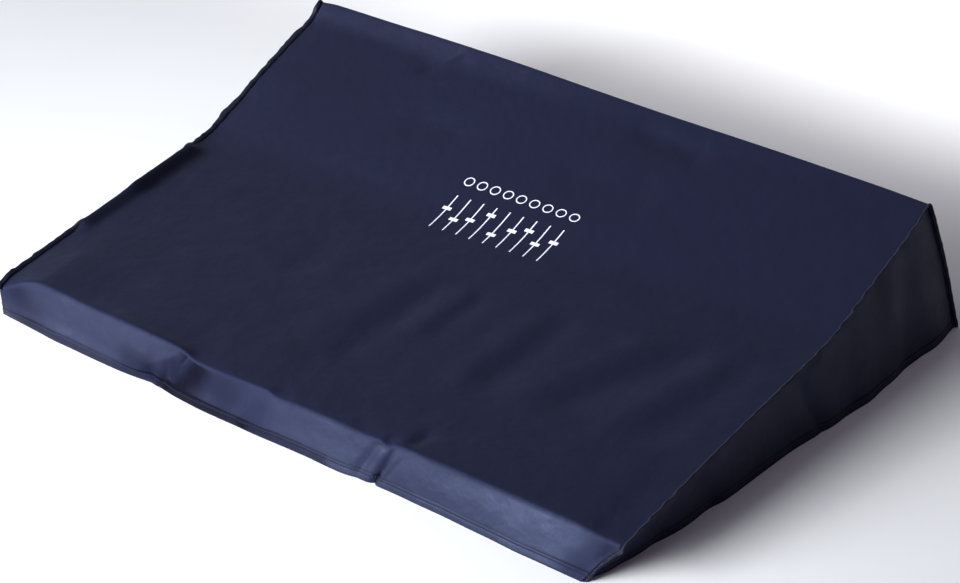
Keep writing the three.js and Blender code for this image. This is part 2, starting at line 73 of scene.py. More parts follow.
towards_camera = Vector((
    math.sin(AZIMUTH) * math.cos(ELEVATION),
    -math.cos(AZIMUTH) * math.cos(ELEVATION),
    math.sin(ELEVATION),
))
camera = bpy.data.objects.new("camera", bpy.data.cameras.new("camera"))
bpy.context.collection.objects.link(camera)
camera.data.lens, camera.data.sensor_width = 119.2, 36.0
camera.matrix_world = aimed_matrix(AIM + towards_camera * DISTANCE, towards_camera, ROLL)
camera.data.clip_start, camera.data.clip_end = 0.05, 100
bpy.context.scene.camera = camera
print("camera at", [round(v, 3) for v in camera.matrix_world.translation])

# %% [markdown]
# ## The cutting tables
# A drape that stands by itself can be described the way a pattern cutter sees it: as a few lines
# drawn across the strip. Each line has its place at some points from left to right, and how
# tightly the cloth bends there. All sizes are millimetres. A cloth simulation would need the desk
# below and would settle differently in each version of Blender, while a table gives the same folds
# each time.

# %% The lines across the strip
SEAM_X = 417.5  # from the middle to a side seam
EDGE_OVER = 1.5  # how far the strip reaches past its seams
SHAPED_FROM = 250  # a section's shift at the seams fades out inside this distance
BEND_SHARE = 0.2  # share of a section's count along the strip that goes to its bend

SECTIONS = [
    dict(name="front hem", round=0, out=(5.5, -36), rows=[
        (-417.5, -284.6, 0), (-395, -286.6, 0), (-342, -291, 0), (-291, -293.8, 0), (-242, -295, 0),
        (-215, -293.8, 0), (-197, -292.8, 0), (-187, -295, 0), (-171, -297.4, 0), (-146, -299.8, 0),
        (-105, -302, 0), (-57, -303, 0), (33, -302.4, 0), (77, -303.9, 0), (97, -301.6, 0),
        (138, -301.2, 0), (181, -303, 0), (264, -306.4, 0), (345, -309.3, 0), (417.5, -310.8, 0)]),
    dict(name="skirt middle", round=8, out=(1, -20), rows=[
        (-417.5, -290, 27), (-395, -286.8, 28), (-372, -284.5, 28), (-338, -285, 28),
        (-308, -286.5, 28), (-260, -291, 29), (-213, -293.5, 31), (-185, -293, 35),
        (-158, -291.5, 46), (-140, -292.5, 40), (-120, -294, 28), (-55, -295, 28),
        (110, -296, 28), (150, -297, 28), (255, -299.5, 28), (417.5, -300, 25)]),
    dict(name="front fold", round=2.2, out=(0, 0), rows=[
        (-417.5, -289.5, 43), (-404, -288, 48), (-386, -283, 53.2), (-366, -280, 57),
        (-330, -280, 55.6), (-300, -281, 54.4), (-240, -285, 55.8), (-180, -289, 54.6),
        (-120, -291.5, 52.2), (-40, -291.5, 51.4), (66, -291.5, 50.2), (208, -291.5, 51.6),
        (295, -291.5, 50.9), (367, -291.5, 49.4), (391, -291.5, 46.5), (417.5, -292, 46)]),
    dict(name="front slope middle", round=40, out=(0, 0), rows=[
        (-417.5, -121, 60.5), (-250, -121, 62), (0, -121, 63.5), (250, -121, 67),
        (417.5, -121, 70.5)]),
    dict(name="kink", round=26, out=(0, 0), rows=[
        (-417.5, 46, 75), (-250, 48, 78), (0, 56, 83.5), (250, 64, 88), (417.5, 70, 91.5)]),
    dict(name="rear slope middle", round=30, out=(0, 0), rows=[
        (-417.5, 149, 114.5), (-250, 149, 115), (0, 149, 117), (250, 149, 118.5),
        (417.5, 149, 120)]),
    dict(name="foot of the back rise", round=9, out=(0, 0), rows=[
        (-417.5, 250, 149.3), (-390, 249, 151.2), (-300, 249, 152.2), (-240, 249, 153.4),
        (-205, 246, 154.3), (0, 245, 155), (250, 245, 155.5), (417.5, 245, 156)]),
    dict(name="back edge", round=3.5, out=(0, -3.5), rows=[
        (-417.5, 268.5, 167.3), (-396, 271, 168.3), (-300, 271, 169.4), (-247, 271, 170.6),
        (-150, 271, 171.2), (0, 271, 169), (92, 271, 168.2), (200, 271, 168.5), (350, 271, 167.3),
        (417.5, 270, 166)]),
    dict(name="back drop middle", round=24, out=(8, 8.6), rows=[
        (-417.5, 286, 88), (-250, 281, 88), (-60, 277, 88), (120, 280, 88), (290, 278, 88),
        (417.5, 289, 88)]),
    dict(name="back hem", round=0, out=(16.5, 18), rows=[
        (-417.5, 302, 0), (-300, 294, 0), (-180, 287, 0), (-40, 293, 0), (110, 286, 0),
        (250, 290, 0), (330, 296, 0), (417.5, 308, 0)]),
]
FRONT_FOLD, BACK_EDGE = 2, 7  # places of two lines in that list

# Steps and dents of the front fold: x, how far the fold is lifted there
FOLD_LIFT = [
    (-417.5, -4.5), (-404, -2.5), (-386, 0), (-270, 0.6), (-213, 2.6), (-155, 4.4), (-147, 3.4),
    (-130, -1.2), (-108, -1.6), (-60, 0.2), (-32, 0.8), (-16, -2.6), (10, -0.8), (66, 0),
    (100, -1.6), (118, -1), (128, -3.8), (137, -0.6), (145, 0.8), (208, 0.4), (280, 0), (417.5, 0),
]
FOLD_LIFT_REACH = 9  # how far behind the fold these fade out
print(len(SECTIONS), "lines across the strip")

# %% [markdown]
# ## Soft folds
# Between those lines the cloth isn't flat. It was stored folded and thrown over a desk, so it has
# soft ridges, troughs and short creases. Each one is a line with a width and a height, and its
# height falls off on both sides like a bell. A trough has a negative height. The folds could be
# sculpted, but a table can be read, and one number moves a fold.

# %% The strip's folds
# from a, from b, to a, to b, width, height: a is x, b is y on the top and z on skirt and drop
TOP_FOLDS = [
    (-417.5, -158, -417.5, 20, 9, 6), (-417.5, -70, -417.5, 22, 13, 2.2),
    (-417.5, 72, -417.5, 112, 22, -2.5),
    (-60, -165, -24, -45, 24, 1.7), (-8, -185, 2, -60, 20, -2.3), (27, -112, 39, -52, 16, 1.3),
    (54, -114, 56, -50, 14, -1.7), (124, -155, 134, -60, 22, 1.9), (154, -148, 160, -46, 20, -2.4),
    (204, -150, 252, -32, 24, 2.1), (244, -140, 306, -12, 24, -2.3), (304, -155, 344, -30, 22, 1.9),
    (352, -130, 370, -12, 22, -2), (-154, -96, -156, -50, 20, -1.8),
    (-120, -240, -64, -226, 20, 2), (75, 238, 142, 236, 14, -2.4), (34, 158, 114, 170, 22, -1.6),
    (-181, 160, -136, 164, 22, -1.6), (-232, 232, -206, 262, 8, -3), (152, -279, 156, -262, 8, -3),
]
SKIRT_FOLDS = [  # the last row holds the upper edge of the turned hem and one notch in it
    (-192, 30, -198, 10, 10, -1.2), (60, 30, 52, 6, 22, 0.8), (-60, 36, -72, 8, 26, -0.8),
    (214, 30, 206, 6, 24, -0.8), (318, 36, 310, 8, 26, 0.9), (-330, 34, -338, 8, 20, 0.8),
    (-405, 10.5, -215, 10.5, 7, 1.4), (-160, 10.5, -30, 10.5, 7, 1.6), (116, 1, 121, 11, 3, -1.6),
]
BACK_FOLDS = [
    (-300, 130, -322, 0, 30, 4), (-236, 110, -240, 0, 26, -4), (-90, 150, -60, 20, 34, -3.5),
    (40, 120, 66, 0, 28, 4.5), (182, 140, 176, 10, 26, -4), (344, 150, 322, 10, 26, -3.5),
]
print("folds of the strip:", len(TOP_FOLDS + SKIRT_FOLDS + BACK_FOLDS))

# %% [markdown]
# ## Reading the tables
# A few rows have to become a height for every point of the cloth. Between the rows a straight line
# would leave corners, and an ordinary spline would swing past the values. This curve is a cubic
# whose slope is nought at each high or low row, so it is smooth and never overshoots. A fold is
# simpler: its height depends only on how far a point is from the fold's line.

# %% Smooth curves and bells
def table_value(rows, x, column):
    """A table's column at x, on a smooth curve through its rows that never overshoots."""
    rows = np.array(rows, float)
    places, values = rows[:, 0], rows[:, column]
    steep = np.diff(values) / np.diff(places)
    slope = np.concatenate([steep[:1], np.zeros(len(places) - 2), steep[-1:]])
    before, after = steep[:-1], steep[1:]
    same_way = before * after > 0
    slope[1:-1][same_way] = (2 * before * after)[same_way] / (before + after)[same_way]
    k = np.clip(np.searchsorted(places, x) - 1, 0, len(places) - 2)
    span = places[k + 1] - places[k]
    t = np.clip((x - places[k]) / span, 0, 1)
    rest = 1 - t
    return (
        values[k] * rest**2 * (1 + 2 * t) + values[k + 1] * t**2 * (3 - 2 * t)
        + slope[k] * span * t * rest**2 - slope[k + 1] * span * t**2 * rest
    )


def fold_height(table, a, b):
    """How far a table of folds lifts the cloth at the places a, b."""
    height = np.zeros(np.broadcast(a, b).shape)
    for a1, b1, a2, b2, width, high in table:
        da, db = a2 - a1, b2 - b1
        t = np.clip(((a - a1) * da + (b - b1) * db) / (da * da + db * db), 0, 1)
        far = (a - a1 - t * da) ** 2 + (b - b1 - t * db) ** 2
        height += high * np.exp(-far / width**2)
    return height


def ease(value, low, high):
    """Rises smoothly from 0 at low to 1 at high."""
    t = np.clip((value - low) / (high - low), 0, 1)
    return t * t * (3 - 2 * t)


fold_middle = float(table_value(SECTIONS[FRONT_FOLD]["rows"], 0.0, 2))
print("the front fold's height in the middle:", round(fold_middle, 1), "mm")

# %% [markdown]
# ## Pressed creases
# The skirt was stored folded flat, so it keeps a few sharp creases. A crease is no bell: the cloth
# sinks slowly up to it and is back almost at once on its other side. Two straight ramps would show
# their corners in the gloss, so the steep side is eased, and so is the end of each crease.

# %% The skirt's creases
# from x, z, width, depth, to x, z, width, depth, width of the steep side, depth behind it, how far
# that reaches, and how dull the coating is. The cloth sinks from the left up to the crease.
SKIRT_CREASES = [
    (-150, 49, 5, 0.8, -184, 4, 26, 4, 3, 6.5, 30, 1),
    (121, 52, 8, 1.8, 96, 8, 9, 2, 9, 0, 1, 0.4), (137, 44, 7, 1.5, 113, -4, 7, 5.5, 3, 0, 1, 1),
    (147, 36, 4, 0.6, 128, 8, 4, 1.2, 3, 0, 1, 0.3),
]
CREASE_END = 7  # distance over which a crease fades out past its ends
CREASE_AT_HEM = 0.35  # share of a crease's depth that is left at the floor


def crease_depth(table, a, b):
    """How far creases sink the cloth at the places a, b, and how dull its coating is there."""
    depth, dull = np.zeros(np.broadcast(a, b).shape), np.zeros(np.broadcast(a, b).shape)
    for a1, b1, wide1, deep1, a2, b2, wide2, deep2, steep, behind, reach, rubbed in table:
        da, db = a2 - a1, b2 - b1
        long = math.hypot(da, db)
        t = ((a - a1) * da + (b - b1) * db) / long**2
        beyond = np.maximum(np.maximum(-t, t - 1), 0) * long
        t = np.clip(t, 0, 1)
        aside = ((a - a1) * -db + (b - b1) * da) / long
        wide = wide1 + (wide2 - wide1) * t
        fade = np.exp(-((beyond / (CREASE_END + np.clip(aside, 0, 20))) ** 2))
        deep = deep1 + (deep2 - deep1) * t
        after = behind * np.exp(-np.clip(aside, 0, None) / reach)
        past = ease(aside, 0, steep)
        sinking = deep * np.clip(1 + aside / wide, 0, 1)
        shape = np.where(aside < 0, sinking, deep * (1 - past) + after * past)
        depth += fade * shape * (CREASE_AT_HEM + (1 - CREASE_AT_HEM) * ease(b, 3, 20))
        before = ease(aside, -wide - 1, -wide + 3) * (1 - ease(aside, -1, 1))
        beside = ease(aside, steep, steep + 4) * np.exp(-((aside / reach) ** 2)) if behind else 0
        dull = np.maximum(dull, rubbed * fade * (before + beside))
    return depth, dull


print("deepest of", len(SKIRT_CREASES), "creases:", max(row[7] for row in SKIRT_CREASES), "mm")

# %% [markdown]
# ## Columns of the strip
# The strip is a grid of points. First come the places across it, one for each column. A grid that
# is fine everywhere would hold far more points than the calm parts need, so the columns only stand
# close together where the creases are.

# %% The places across
STEP = 5.0  # distance between the points of the grid
FINE_STEP = 2.2  # the same across the pressed creases


def across_places():
    """The x of every column, with a finer step across the two groups of creases."""
    stops = [
        (-SEAM_X, 0), (-216, STEP), (-108, FINE_STEP), (90, STEP), (156, FINE_STEP), (SEAM_X, STEP),
    ]
    inside = [np.linspace(start, end, round((end - start) / step) + 1)[1:]
              for (start, _), (end, step) in zip(stops, stops[1:])]
    return np.concatenate([[-SEAM_X - EDGE_OVER, -SEAM_X], *inside, [SEAM_X + EDGE_OVER]])


def section_points(section, x):
    """A line's points, moved outwards near the seams by what the line says."""
    side = np.where(x < 0, -section["out"][0], section["out"][1])
    share = ease(np.abs(x), SHAPED_FROM, SEAM_X)
    y, z = (table_value(section["rows"], x, column) for column in (1, 2))
    return np.stack([x + side * share, y, z], axis=-1)


across = across_places()
print("columns:", len(across))

# %% [markdown]
# ## Rows of the strip
# Each bend is a quadratic Bezier curve between two straight stretches, which is how a stiff coated
# cloth turns over an edge. Blender's own curves could be lofted, but then the rows would not keep
# their count along the strip, which later steps need to find a fold or a hem again. The rows stand
# closer in the hems, because the sewn grooves are narrow.

# %% The rows along
BEND_STEP = 2.5  # distance between the rows of a bend
SKIRT_STEP = 2.6  # distance between the rows of the front skirt
BEND_LIMIT = 0.45  # share of the shorter stretch beside it that a bend may take
HEM_ROWS = [0.5, 1.2, 2.2, 3.6, 5.0, 6.2, 6.9, 7.5, 8.1, 8.8, 9.5, 10.0, 10.5, 11.2, 12.5, 15.0]
HEM_SPACE = 0.6  # how close a plain row may come to the hem's own rows, as a share of a step


def bend_points(corners, k):
    """Where the bend at a line starts, its corner, and where it ends."""
    corner = corners[k]
    if k in (0, len(corners) - 1):
        return corner, corner, corner
    before, after = corners[k - 1] - corner, corners[k + 1] - corner
    long_before = np.linalg.norm(before, axis=1, keepdims=True)
    long_after = np.linalg.norm(after, axis=1, keepdims=True)
    reach = np.minimum(SECTIONS[k]["round"], BEND_LIMIT * np.minimum(long_before, long_after))
    return corner + before / long_before * reach, corner, corner + after / long_after * reach


def stretch_shares(k, end, far):
    """Where the rows of a straight stretch lie, as shares of the way from end to far."""
    length = np.linalg.norm(far - end, axis=1).mean()
    count = max(2, round(length / (STEP if k > 1 else SKIRT_STEP)))
    shares = [step / count * np.ones(len(end)) for step in range(1, count)]
    if k not in (0, len(SECTIONS) - 2):
        return shares
    gap = HEM_SPACE / count
    hem = [(z - end[:, 2]) / (far[:, 2] - end[:, 2]) for z in HEM_ROWS]
    if k == 0:
        clear = max(share.max() for share in hem) + gap
        return hem + [share for share in shares if share.min() > clear]
    clear = min(share.min() for share in hem) - gap
    return [share for share in shares if share.max() < clear] + hem[::-1]


def strip_rows(x):
    """The strip's points as [row, column, xyz] and each row's count along the strip."""
    corners = [section_points(section, x) for section in SECTIONS]
    last = len(corners) - 1
    bends = [bend_points(corners, k) for k in range(len(corners))]
    rows, along = [], []
    for k, (start, corner, end) in enumerate(bends):
        steps = 0 if k in (0, last) else max(6, round(SECTIONS[k]["round"] / BEND_STEP))
        for step in range(steps + 1):
            t = step / steps if steps else 0
            rows.append((1 - t) ** 2 * start + 2 * t * (1 - t) * corner + t**2 * end)
            along.append(k + BEND_SHARE * (t - 0.5 if steps else -0.5 if k else 0.5))
        if k < last:
            far = bends[k + 1][0]
            for share in stretch_shares(k, end, far):
                rows.append(end + (far - end) * share[:, None])
                along.append(k + BEND_SHARE / 2 + (1 - BEND_SHARE) * float(share.mean()))
    return np.array(rows), np.array(along)


smooth_strip, along = strip_rows(across)
print("strip grid:", len(along), "rows of", len(across), "points")

# %% [markdown]
# ## Laying the folds on the strip
# The lines alone give a calm surface. Each fold now moves the cloth along its own outward
# direction, and only on the part of the strip that its table describes. A displacement modifier
# would need an image or a procedural texture for this, while the tables put each fold where it
# belongs. The steps and dents of the front fold lift it straight up and fade out a little behind
# it.

# %% The draped strip
def grid_normals(grid):
    """Outward directions of a grid [row, column, xyz]."""
    up = np.gradient(grid, axis=0)
    right = np.gradient(grid, axis=1)
    normal = np.cross(right, up)
    return normal / np.linalg.norm(normal, axis=-1, keepdims=True)


strip_leans = grid_normals(smooth_strip)
on_top = ease(along, FRONT_FOLD + 0.1, FRONT_FOLD + 0.2)
on_top *= 1 - ease(along, BACK_EDGE - 0.2, BACK_EDGE - 0.1)
on_skirt = (along < FRONT_FOLD) * (1 - ease(along, FRONT_FOLD - 0.3, FRONT_FOLD - 0.05))
on_back = ease(along, BACK_EDGE + 0.1, BACK_EDGE + 0.4)
crease_sunk, crease_dull = crease_depth(SKIRT_CREASES, across[None, :], smooth_strip[:, :, 2])
strip_lift = (
    fold_height(TOP_FOLDS, across[None, :], smooth_strip[:, :, 1]) * on_top[:, None]
    + fold_height(SKIRT_FOLDS, across[None, :], smooth_strip[:, :, 2]) * on_skirt[:, None]
    - crease_sunk * on_skirt[:, None]
    + fold_height(BACK_FOLDS, across[None, :], smooth_strip[:, :, 2]) * on_back[:, None]
)
strip = smooth_strip + strip_leans * strip_lift[:, :, None]
fold_row = int(np.argmin(np.abs(along - FRONT_FOLD)))
behind = np.linalg.norm(smooth_strip - smooth_strip[fold_row], axis=-1).mean(axis=1)
near_fold = np.where(along < FRONT_FOLD, ease(along, FRONT_FOLD - 1, FRONT_FOLD - 0.1),
                     np.exp(-((behind / FOLD_LIFT_REACH) ** 2)))
strip[:, :, 2] += table_value(FOLD_LIFT, across, 1) * near_fold[:, None]
strip[0, :, 2] = strip[-1, :, 2] = 0
middle_row = {k: int(np.argmin(np.abs(along - k))) for k in (FRONT_FOLD, BACK_EDGE)}
print("folds lift the cloth by", round(float(strip_lift.min()), 1), "to",
      round(float(strip_lift.max()), 1), "mm")

# %% [markdown]
# ## From a surface to cloth
# A real sheet has two sides and cut edges. Solidify could give them, but the hem needs its own
# thickness: the cloth is turned up twice there and sewn, which makes a thicker band with a groove
# where the thread pulls it in. So the sheet is built from an outer and an inner copy of the grid,
# each moved by half of the thickness at that height, and closed round its four edges.

# %% The hem's thickness
CLOTH = 1.6  # thickness of the coated cloth
HEM_PROFILE = [  # height above the floor, thickness there
    (0, 1.6), (0.5, 2.3), (1.2, 2.7), (5.4, 2.7), (6.4, 2.6), (7.2, 1.9), (8.0, 2.6), (9.4, 2.7),
    (10.0, 2.4), (10.5, 1.4), (11.6, 1.6), (400, 1.6),
]
GROOVES = [7.2, 10.5]  # heights of the two pressed lines of a hem
GROOVE_WIDE = 0.8


def hem_thickness(height):
    """The hem's thickness at a height above the floor."""
    heights, values = np.array(HEM_PROFILE).T
    return np.interp(height, heights, values)


def hem_shade(height):
    """The painted shade in a hem's pressed lines: 1 in them and 0 away from them."""
    return sum(np.exp(-(((height - groove) / GROOVE_WIDE) ** 2)) for groove in GROOVES)


print("the hem is", hem_thickness(3.0), "mm thick and", hem_thickness(GROOVES[0]),
      "mm in its groove")

# %% [markdown]
# ## A mesh from a grid
# Blender takes a mesh as a list of points and a list of faces. The points are the outer copy of
# the grid and then the inner one, so a face is four numbers that can be worked out for the whole
# grid at once. The four strips of faces round the edges close the sheet, with every face turned
# outwards. The faces could be added one by one in a loop, but that takes long for so many.

# %% A closed sheet
def sheet_faces(rows, columns):
    """The faces of a closed sheet whose points are an outer grid and then an inner one."""
    outer = np.arange(rows * columns).reshape(rows, columns)
    inner = outer + rows * columns

    def quads(a, b, c, d):
        return np.stack([a, b, c, d], axis=-1).reshape(-1, 4)

    return np.concatenate([
        quads(outer[:-1, :-1], outer[:-1, 1:], outer[1:, 1:], outer[1:, :-1]),
        quads(inner[:-1, :-1], inner[1:, :-1], inner[1:, 1:], inner[:-1, 1:]),
        quads(outer[0, :-1], inner[0, :-1], inner[0, 1:], outer[0, 1:]),
        quads(outer[-1, :-1], outer[-1, 1:], inner[-1, 1:], inner[-1, :-1]),
        quads(outer[:-1, 0], outer[1:, 0], inner[1:, 0], inner[:-1, 0]),
        quads(outer[:-1, -1], inner[:-1, -1], inner[1:, -1], outer[1:, -1]),
    ])


def new_piece(name, points, faces, uv=None, fields=None, sharp=50):
    """A mesh object from points in millimetres, with a UV map in metres and named values.

    sharp is the angle in degrees from which an edge isn't shaded smooth.
    """
    mesh = bpy.data.meshes.new(name)
    mesh.from_pydata((points * MM).tolist(), [], faces)
    if uv is not None:
        layer = mesh.uv_layers.new(name="cloth")
        corner_points = np.zeros(len(mesh.loops), int)
        mesh.loops.foreach_get("vertex_index", corner_points)
        layer.data.foreach_set("uv", (uv[corner_points] * MM).ravel())
    for field, values in (fields or {}).items():
        attribute = mesh.attributes.new(field, "FLOAT", "POINT")
        attribute.data.foreach_set("value", np.ascontiguousarray(values, dtype=np.float32).ravel())
    mesh.shade_smooth()
    mesh.set_sharp_from_angle(angle=math.radians(sharp))
    piece = bpy.data.objects.new(name, mesh)
    bpy.context.collection.objects.link(piece)
    return piece


CLEAR_OF_FLOOR = 0.1  # no point of a sheet but its cut edge is lower than this


def cloth_sheet(name, grid, thickness, uv, pressed, worn, deep, level_rows):
    """A closed sheet round a grid. level_rows are the rows that are cut level on the floor."""
    normals = grid_normals(grid)
    sides = []
    for half in (0.5, -0.5):
        side = grid + normals * (half * thickness)[:, :, None]
        side[:, :, 2] = np.maximum(side[:, :, 2], CLEAR_OF_FLOOR)
        for row in level_rows:
            side[row, :, 2] = 0
        sides.append(side.reshape(-1, 3))
    rows, columns = grid.shape[:2]
    return new_piece(
        name, np.concatenate(sides), sheet_faces(rows, columns).tolist(),
        uv=np.tile(uv.reshape(-1, 2), (2, 1)),
        fields={
            "pressed": np.concatenate([pressed.ravel(), 0 * pressed.ravel()]),
            "worn": np.tile(worn.ravel(), 2),
            "deep": np.tile(deep.ravel(), 2),
        },
    )


print("a sheet of 3 by 4 points has", len(sheet_faces(3, 4)), "faces")

# %% [markdown]
# ## The strip's flat pattern
# The UV map of a cloth is its flat pattern: how far a point lies across the strip and how far
# along it. The weave will be drawn with it, so it must be measured on the draped surface and not
# in the air. An unwrap by hand would give almost the same map, but it would stretch over the
# creases.

# %% Lengths on the cloth
def grid_lengths(grid, axis):
    """How far each point of a grid lies along its row or column, on the cloth."""
    steps = np.linalg.norm(np.diff(grid, axis=axis), axis=-1)
    start = np.zeros_like(np.take(steps, [0], axis=axis))
    return np.concatenate([start, np.cumsum(steps, axis=axis)], axis=axis)


strip_height = strip[:, :, 2]
strip_along = grid_lengths(strip, 0)
strip_uv = np.stack([np.broadcast_to(across, strip_height.shape), strip_along], axis=-1)
print("strip", round(2 * (SEAM_X + EDGE_OVER)), "by", round(float(strip_along[-1].mean())), "mm")

# %% [markdown]
# ## Worn and shaded places
# Cloth that was stored folded doesn't look the same all over. The mesh gets three named values at
# each point: "pressed" is a sewn groove and the painted shade in it, "worn" is where the coating is
# rubbed matt, and "deep" is painted shade where the cloth lies in its own shade. The highest "worn"
# also paints the hem's lowest edge paler, as bare thread and as a painted highlight. A painted
# image could hold them, but values on the points follow every fold and need no picture. The folds'
# bells are used again to place them.

# %% Maps of wear and shade
# Where the coating is rubbed dull: from x, z, to x, z, width, how dull
DULL_PLACES = [
    (-105, 30, -60, 25, 36, 0.9), (-20, 30, 10, 25, 40, 0.35),
    (404, 50, 412, 0, 26, 1), (-417, 48, -400, 36, 20, 1.1), (-225, 12, -195, 8, 20, 1),
]
# Painted shade where the cloth lies in its own shade, under a lip, in a deep fold and along the
# hem band: the same columns
PAINTED_SHADE_PLACES = [
    (-163, 36, -178, 14, 8, 0.5), (-128, 46, -156, 6, 12, 1.0), (-100, 38, -130, 6, 36, 0.36),
    (-118, 42, -132, 8, 9, 0.3),
    (-180, 4, -60, 4, 6, 0.85), (-60, 4, 50, 4, 6, 0.7), (-400, 4, -215, 4, 5, 0.4),
    (116, 0, 121, 14, 2.6, 1.1), (124, 20, 132, 32, 5, 0.4), (-196, 10, -180, 4, 14, 0.4),
    (-392, 36, -374, 18, 17, 0.45), (-226, 26, -204, 20, 14, 0.45), (410, 44, 413, 32, 7, 0.5),
]
# Painted shade on the top: inside the left lip, at the front left corner, and over broad parts of
# its left side and its rear slope
TOP_PAINTED_SHADE = [  # x, y in place of x, z
    (-412, -150, -409, -60, 8, 0.8), (-411, -60, -406, 18, 15, 1.2),
    (-400, -262, -402, -175, 20, 0.3), (-350, -190, -330, 210, 140, 0.14),
    (-320, 165, 60, 175, 95, 0.08),
]
FOLD_WORN, EDGE_WORN = 3.2, 3.5  # how far from the front fold and the back edge they are rubbed
CREASE_WORN = 1.2  # how much a crease is rubbed, against the other places
WORN_LIMIT = 1.35  # the dullest that a rubbed place gets
# The hem's lowest edge is rubbed rougher and painted paler: bare thread, and a painted highlight of
# its turned edge.
HEM_EDGE_WEAR_AND_HIGHLIGHT, HEM_EDGE = 1.7, 1.1  # the lowest thread of the hem is bare: how much, how high
in_hem = (along < 0.9) | (along > len(SECTIONS) - 1.9)  # the stretches that end in a hem
# the sewn grooves of the hem get painted shade
strip_groove_shade = np.where(in_hem[:, None], hem_shade(strip_height), 0.0)
from_edge = strip_along - strip_along[middle_row[BACK_EDGE]]
fold_worn = np.exp(-((behind / FOLD_WORN) ** 2))
fold_worn += np.exp(-((from_edge / EDGE_WORN) ** 2)).mean(axis=1)
dull_places = fold_height(DULL_PLACES, across[None, :], strip_height) * on_skirt[:, None]
crease_worn = crease_dull * on_skirt[:, None] * CREASE_WORN
strip_worn = np.minimum(np.maximum(fold_worn[:, None], crease_worn + dull_places), WORN_LIMIT)
hem_edge = in_hem[:, None] * np.exp(-((strip_height / HEM_EDGE) ** 2))
strip_worn = np.maximum(strip_worn, HEM_EDGE_WEAR_AND_HIGHLIGHT * hem_edge)
# painted shade, which darkens the colour and the tint of the gloss
strip_painted_shade = (
    fold_height(PAINTED_SHADE_PLACES, across[None, :], strip_height) * on_skirt[:, None]
    + fold_height(TOP_PAINTED_SHADE, across[None, :], strip[:, :, 1]) * on_top[:, None]
)
print("rubbed places:", len(DULL_PLACES), "shaded places:", len(PAINTED_SHADE_PLACES + TOP_PAINTED_SHADE))

# %% [markdown]
# ## Closing the strip's cloth
# Now the sheet is made, with its hem's thickness where it is turned up and the plain thickness
# elsewhere. The first and the last row are its cut edges, which stand level on the floor. One
# thickness all over would be simpler, but then the hem would not show as a double band.

# %% The body's cloth
strip_thickness = np.where(in_hem[:, None], hem_thickness(strip_height), CLOTH)
body_panel = cloth_sheet(
    "body_cloth", strip, strip_thickness, strip_uv, strip_groove_shade, strip_worn, strip_painted_shade, (0, -1),
)
print(body_panel.name, len(body_panel.data.polygons), "faces")

# %% [markdown]
# ## The gussets
# Each side piece is sewn to the strip along its front, top and back, and hangs free below. A Coons
# patch fits such a piece: it blends the four edge curves into one surface, as a sewn panel does
# when its edges are held. A cloth simulation could hang it too, but it would need pins all along
# the seam. The folds are added to the patch and fade out towards the seams.

# %% The gussets' tables
RIGHT_FOLDS = [  # the same columns as the strip's folds: y, z, y, z, width, height
    (16, 82, 46, 6, 6.5, -3.6), (48, 88, 72, 10, 16, 2.2), (186, 100, 172, 14, 18, 2),
    (214, 110, 206, 10, 18, -1.6), (-150, 50, -140, 6, 16, -1.8), (-214, 46, -230, 4, 14, 1.6),
]
LEFT_FOLDS = [
    (36, 70, 28, 4, 16, -4), (96, 88, 110, 8, 20, 3.5), (190, 110, 196, 10, 20, -3.5),
    (-110, 54, -104, 6, 18, 2.5),
]
# Where the gussets' hems stand on the floor: y and the distance from the middle
RIGHT_HEM = [
    (-309, 386.5), (-292, 392), (-265, 395.5), (-250, 399), (-224, 400.5), (-205, 406),
    (-183, 410.5), (-133, 415), (-110, 418.5), (-55, 421), (0, 424), (25, 427.3), (49, 431.5),
    (79, 433), (104, 436.7), (131, 440), (167, 437.4), (233, 437.5), (262, 440.3), (305, 437.5),
]
LEFT_HEM = [
    (-287, 423), (-236, 423.5), (-160, 429), (-90, 431.5), (-30, 427), (40, 433), (110, 439),
    (180, 435.5), (250, 439), (302, 434),
]
print("hem points:", len(RIGHT_HEM), "right and", len(LEFT_HEM), "left")

# %% [markdown]
# ## A patch between four edges
# The upper three edges are the strip's own seam line, moved inwards by half of the strip's
# thickness and a small gap. The fourth is the hem on the floor. Its table gives how far it is
# kicked outwards at each place, which makes the uneven bottom line of a cloth that nothing holds.
# A flat wedge would be simpler, but it would show that the sides were never sewn to anything.

# %% The two side pieces
SEAM_GAP = 1.0  # clearance between the strip's inside and a gusset's edge
GUSSET_CALM = 0.12  # share of a gusset over which its folds fade out at the seams
HEM_JOIN = 0.06  # share of a gusset's hem that bends to meet the strip's corner
GUSSET_STEPS, GUSSET_COLUMNS = 24, 141  # rows above the hem, and columns
# A gusset's lowest edge is rubbed rougher and painted paler: bare thread, and a painted highlight
# of its turned edge.
GUSSET_EDGE_WEAR_AND_HIGHLIGHT, GUSSET_EDGE = 2.2, 3  # its lowest edge is rubbed bare: how much, how high


def along_line(line, shares):
    """Points of a line at the given shares of its length."""
    lengths = grid_lengths(line, 0)
    wanted = np.asarray(shares) * lengths[-1]
    return np.stack([np.interp(wanted, lengths, line[:, axis]) for axis in range(3)], axis=-1)


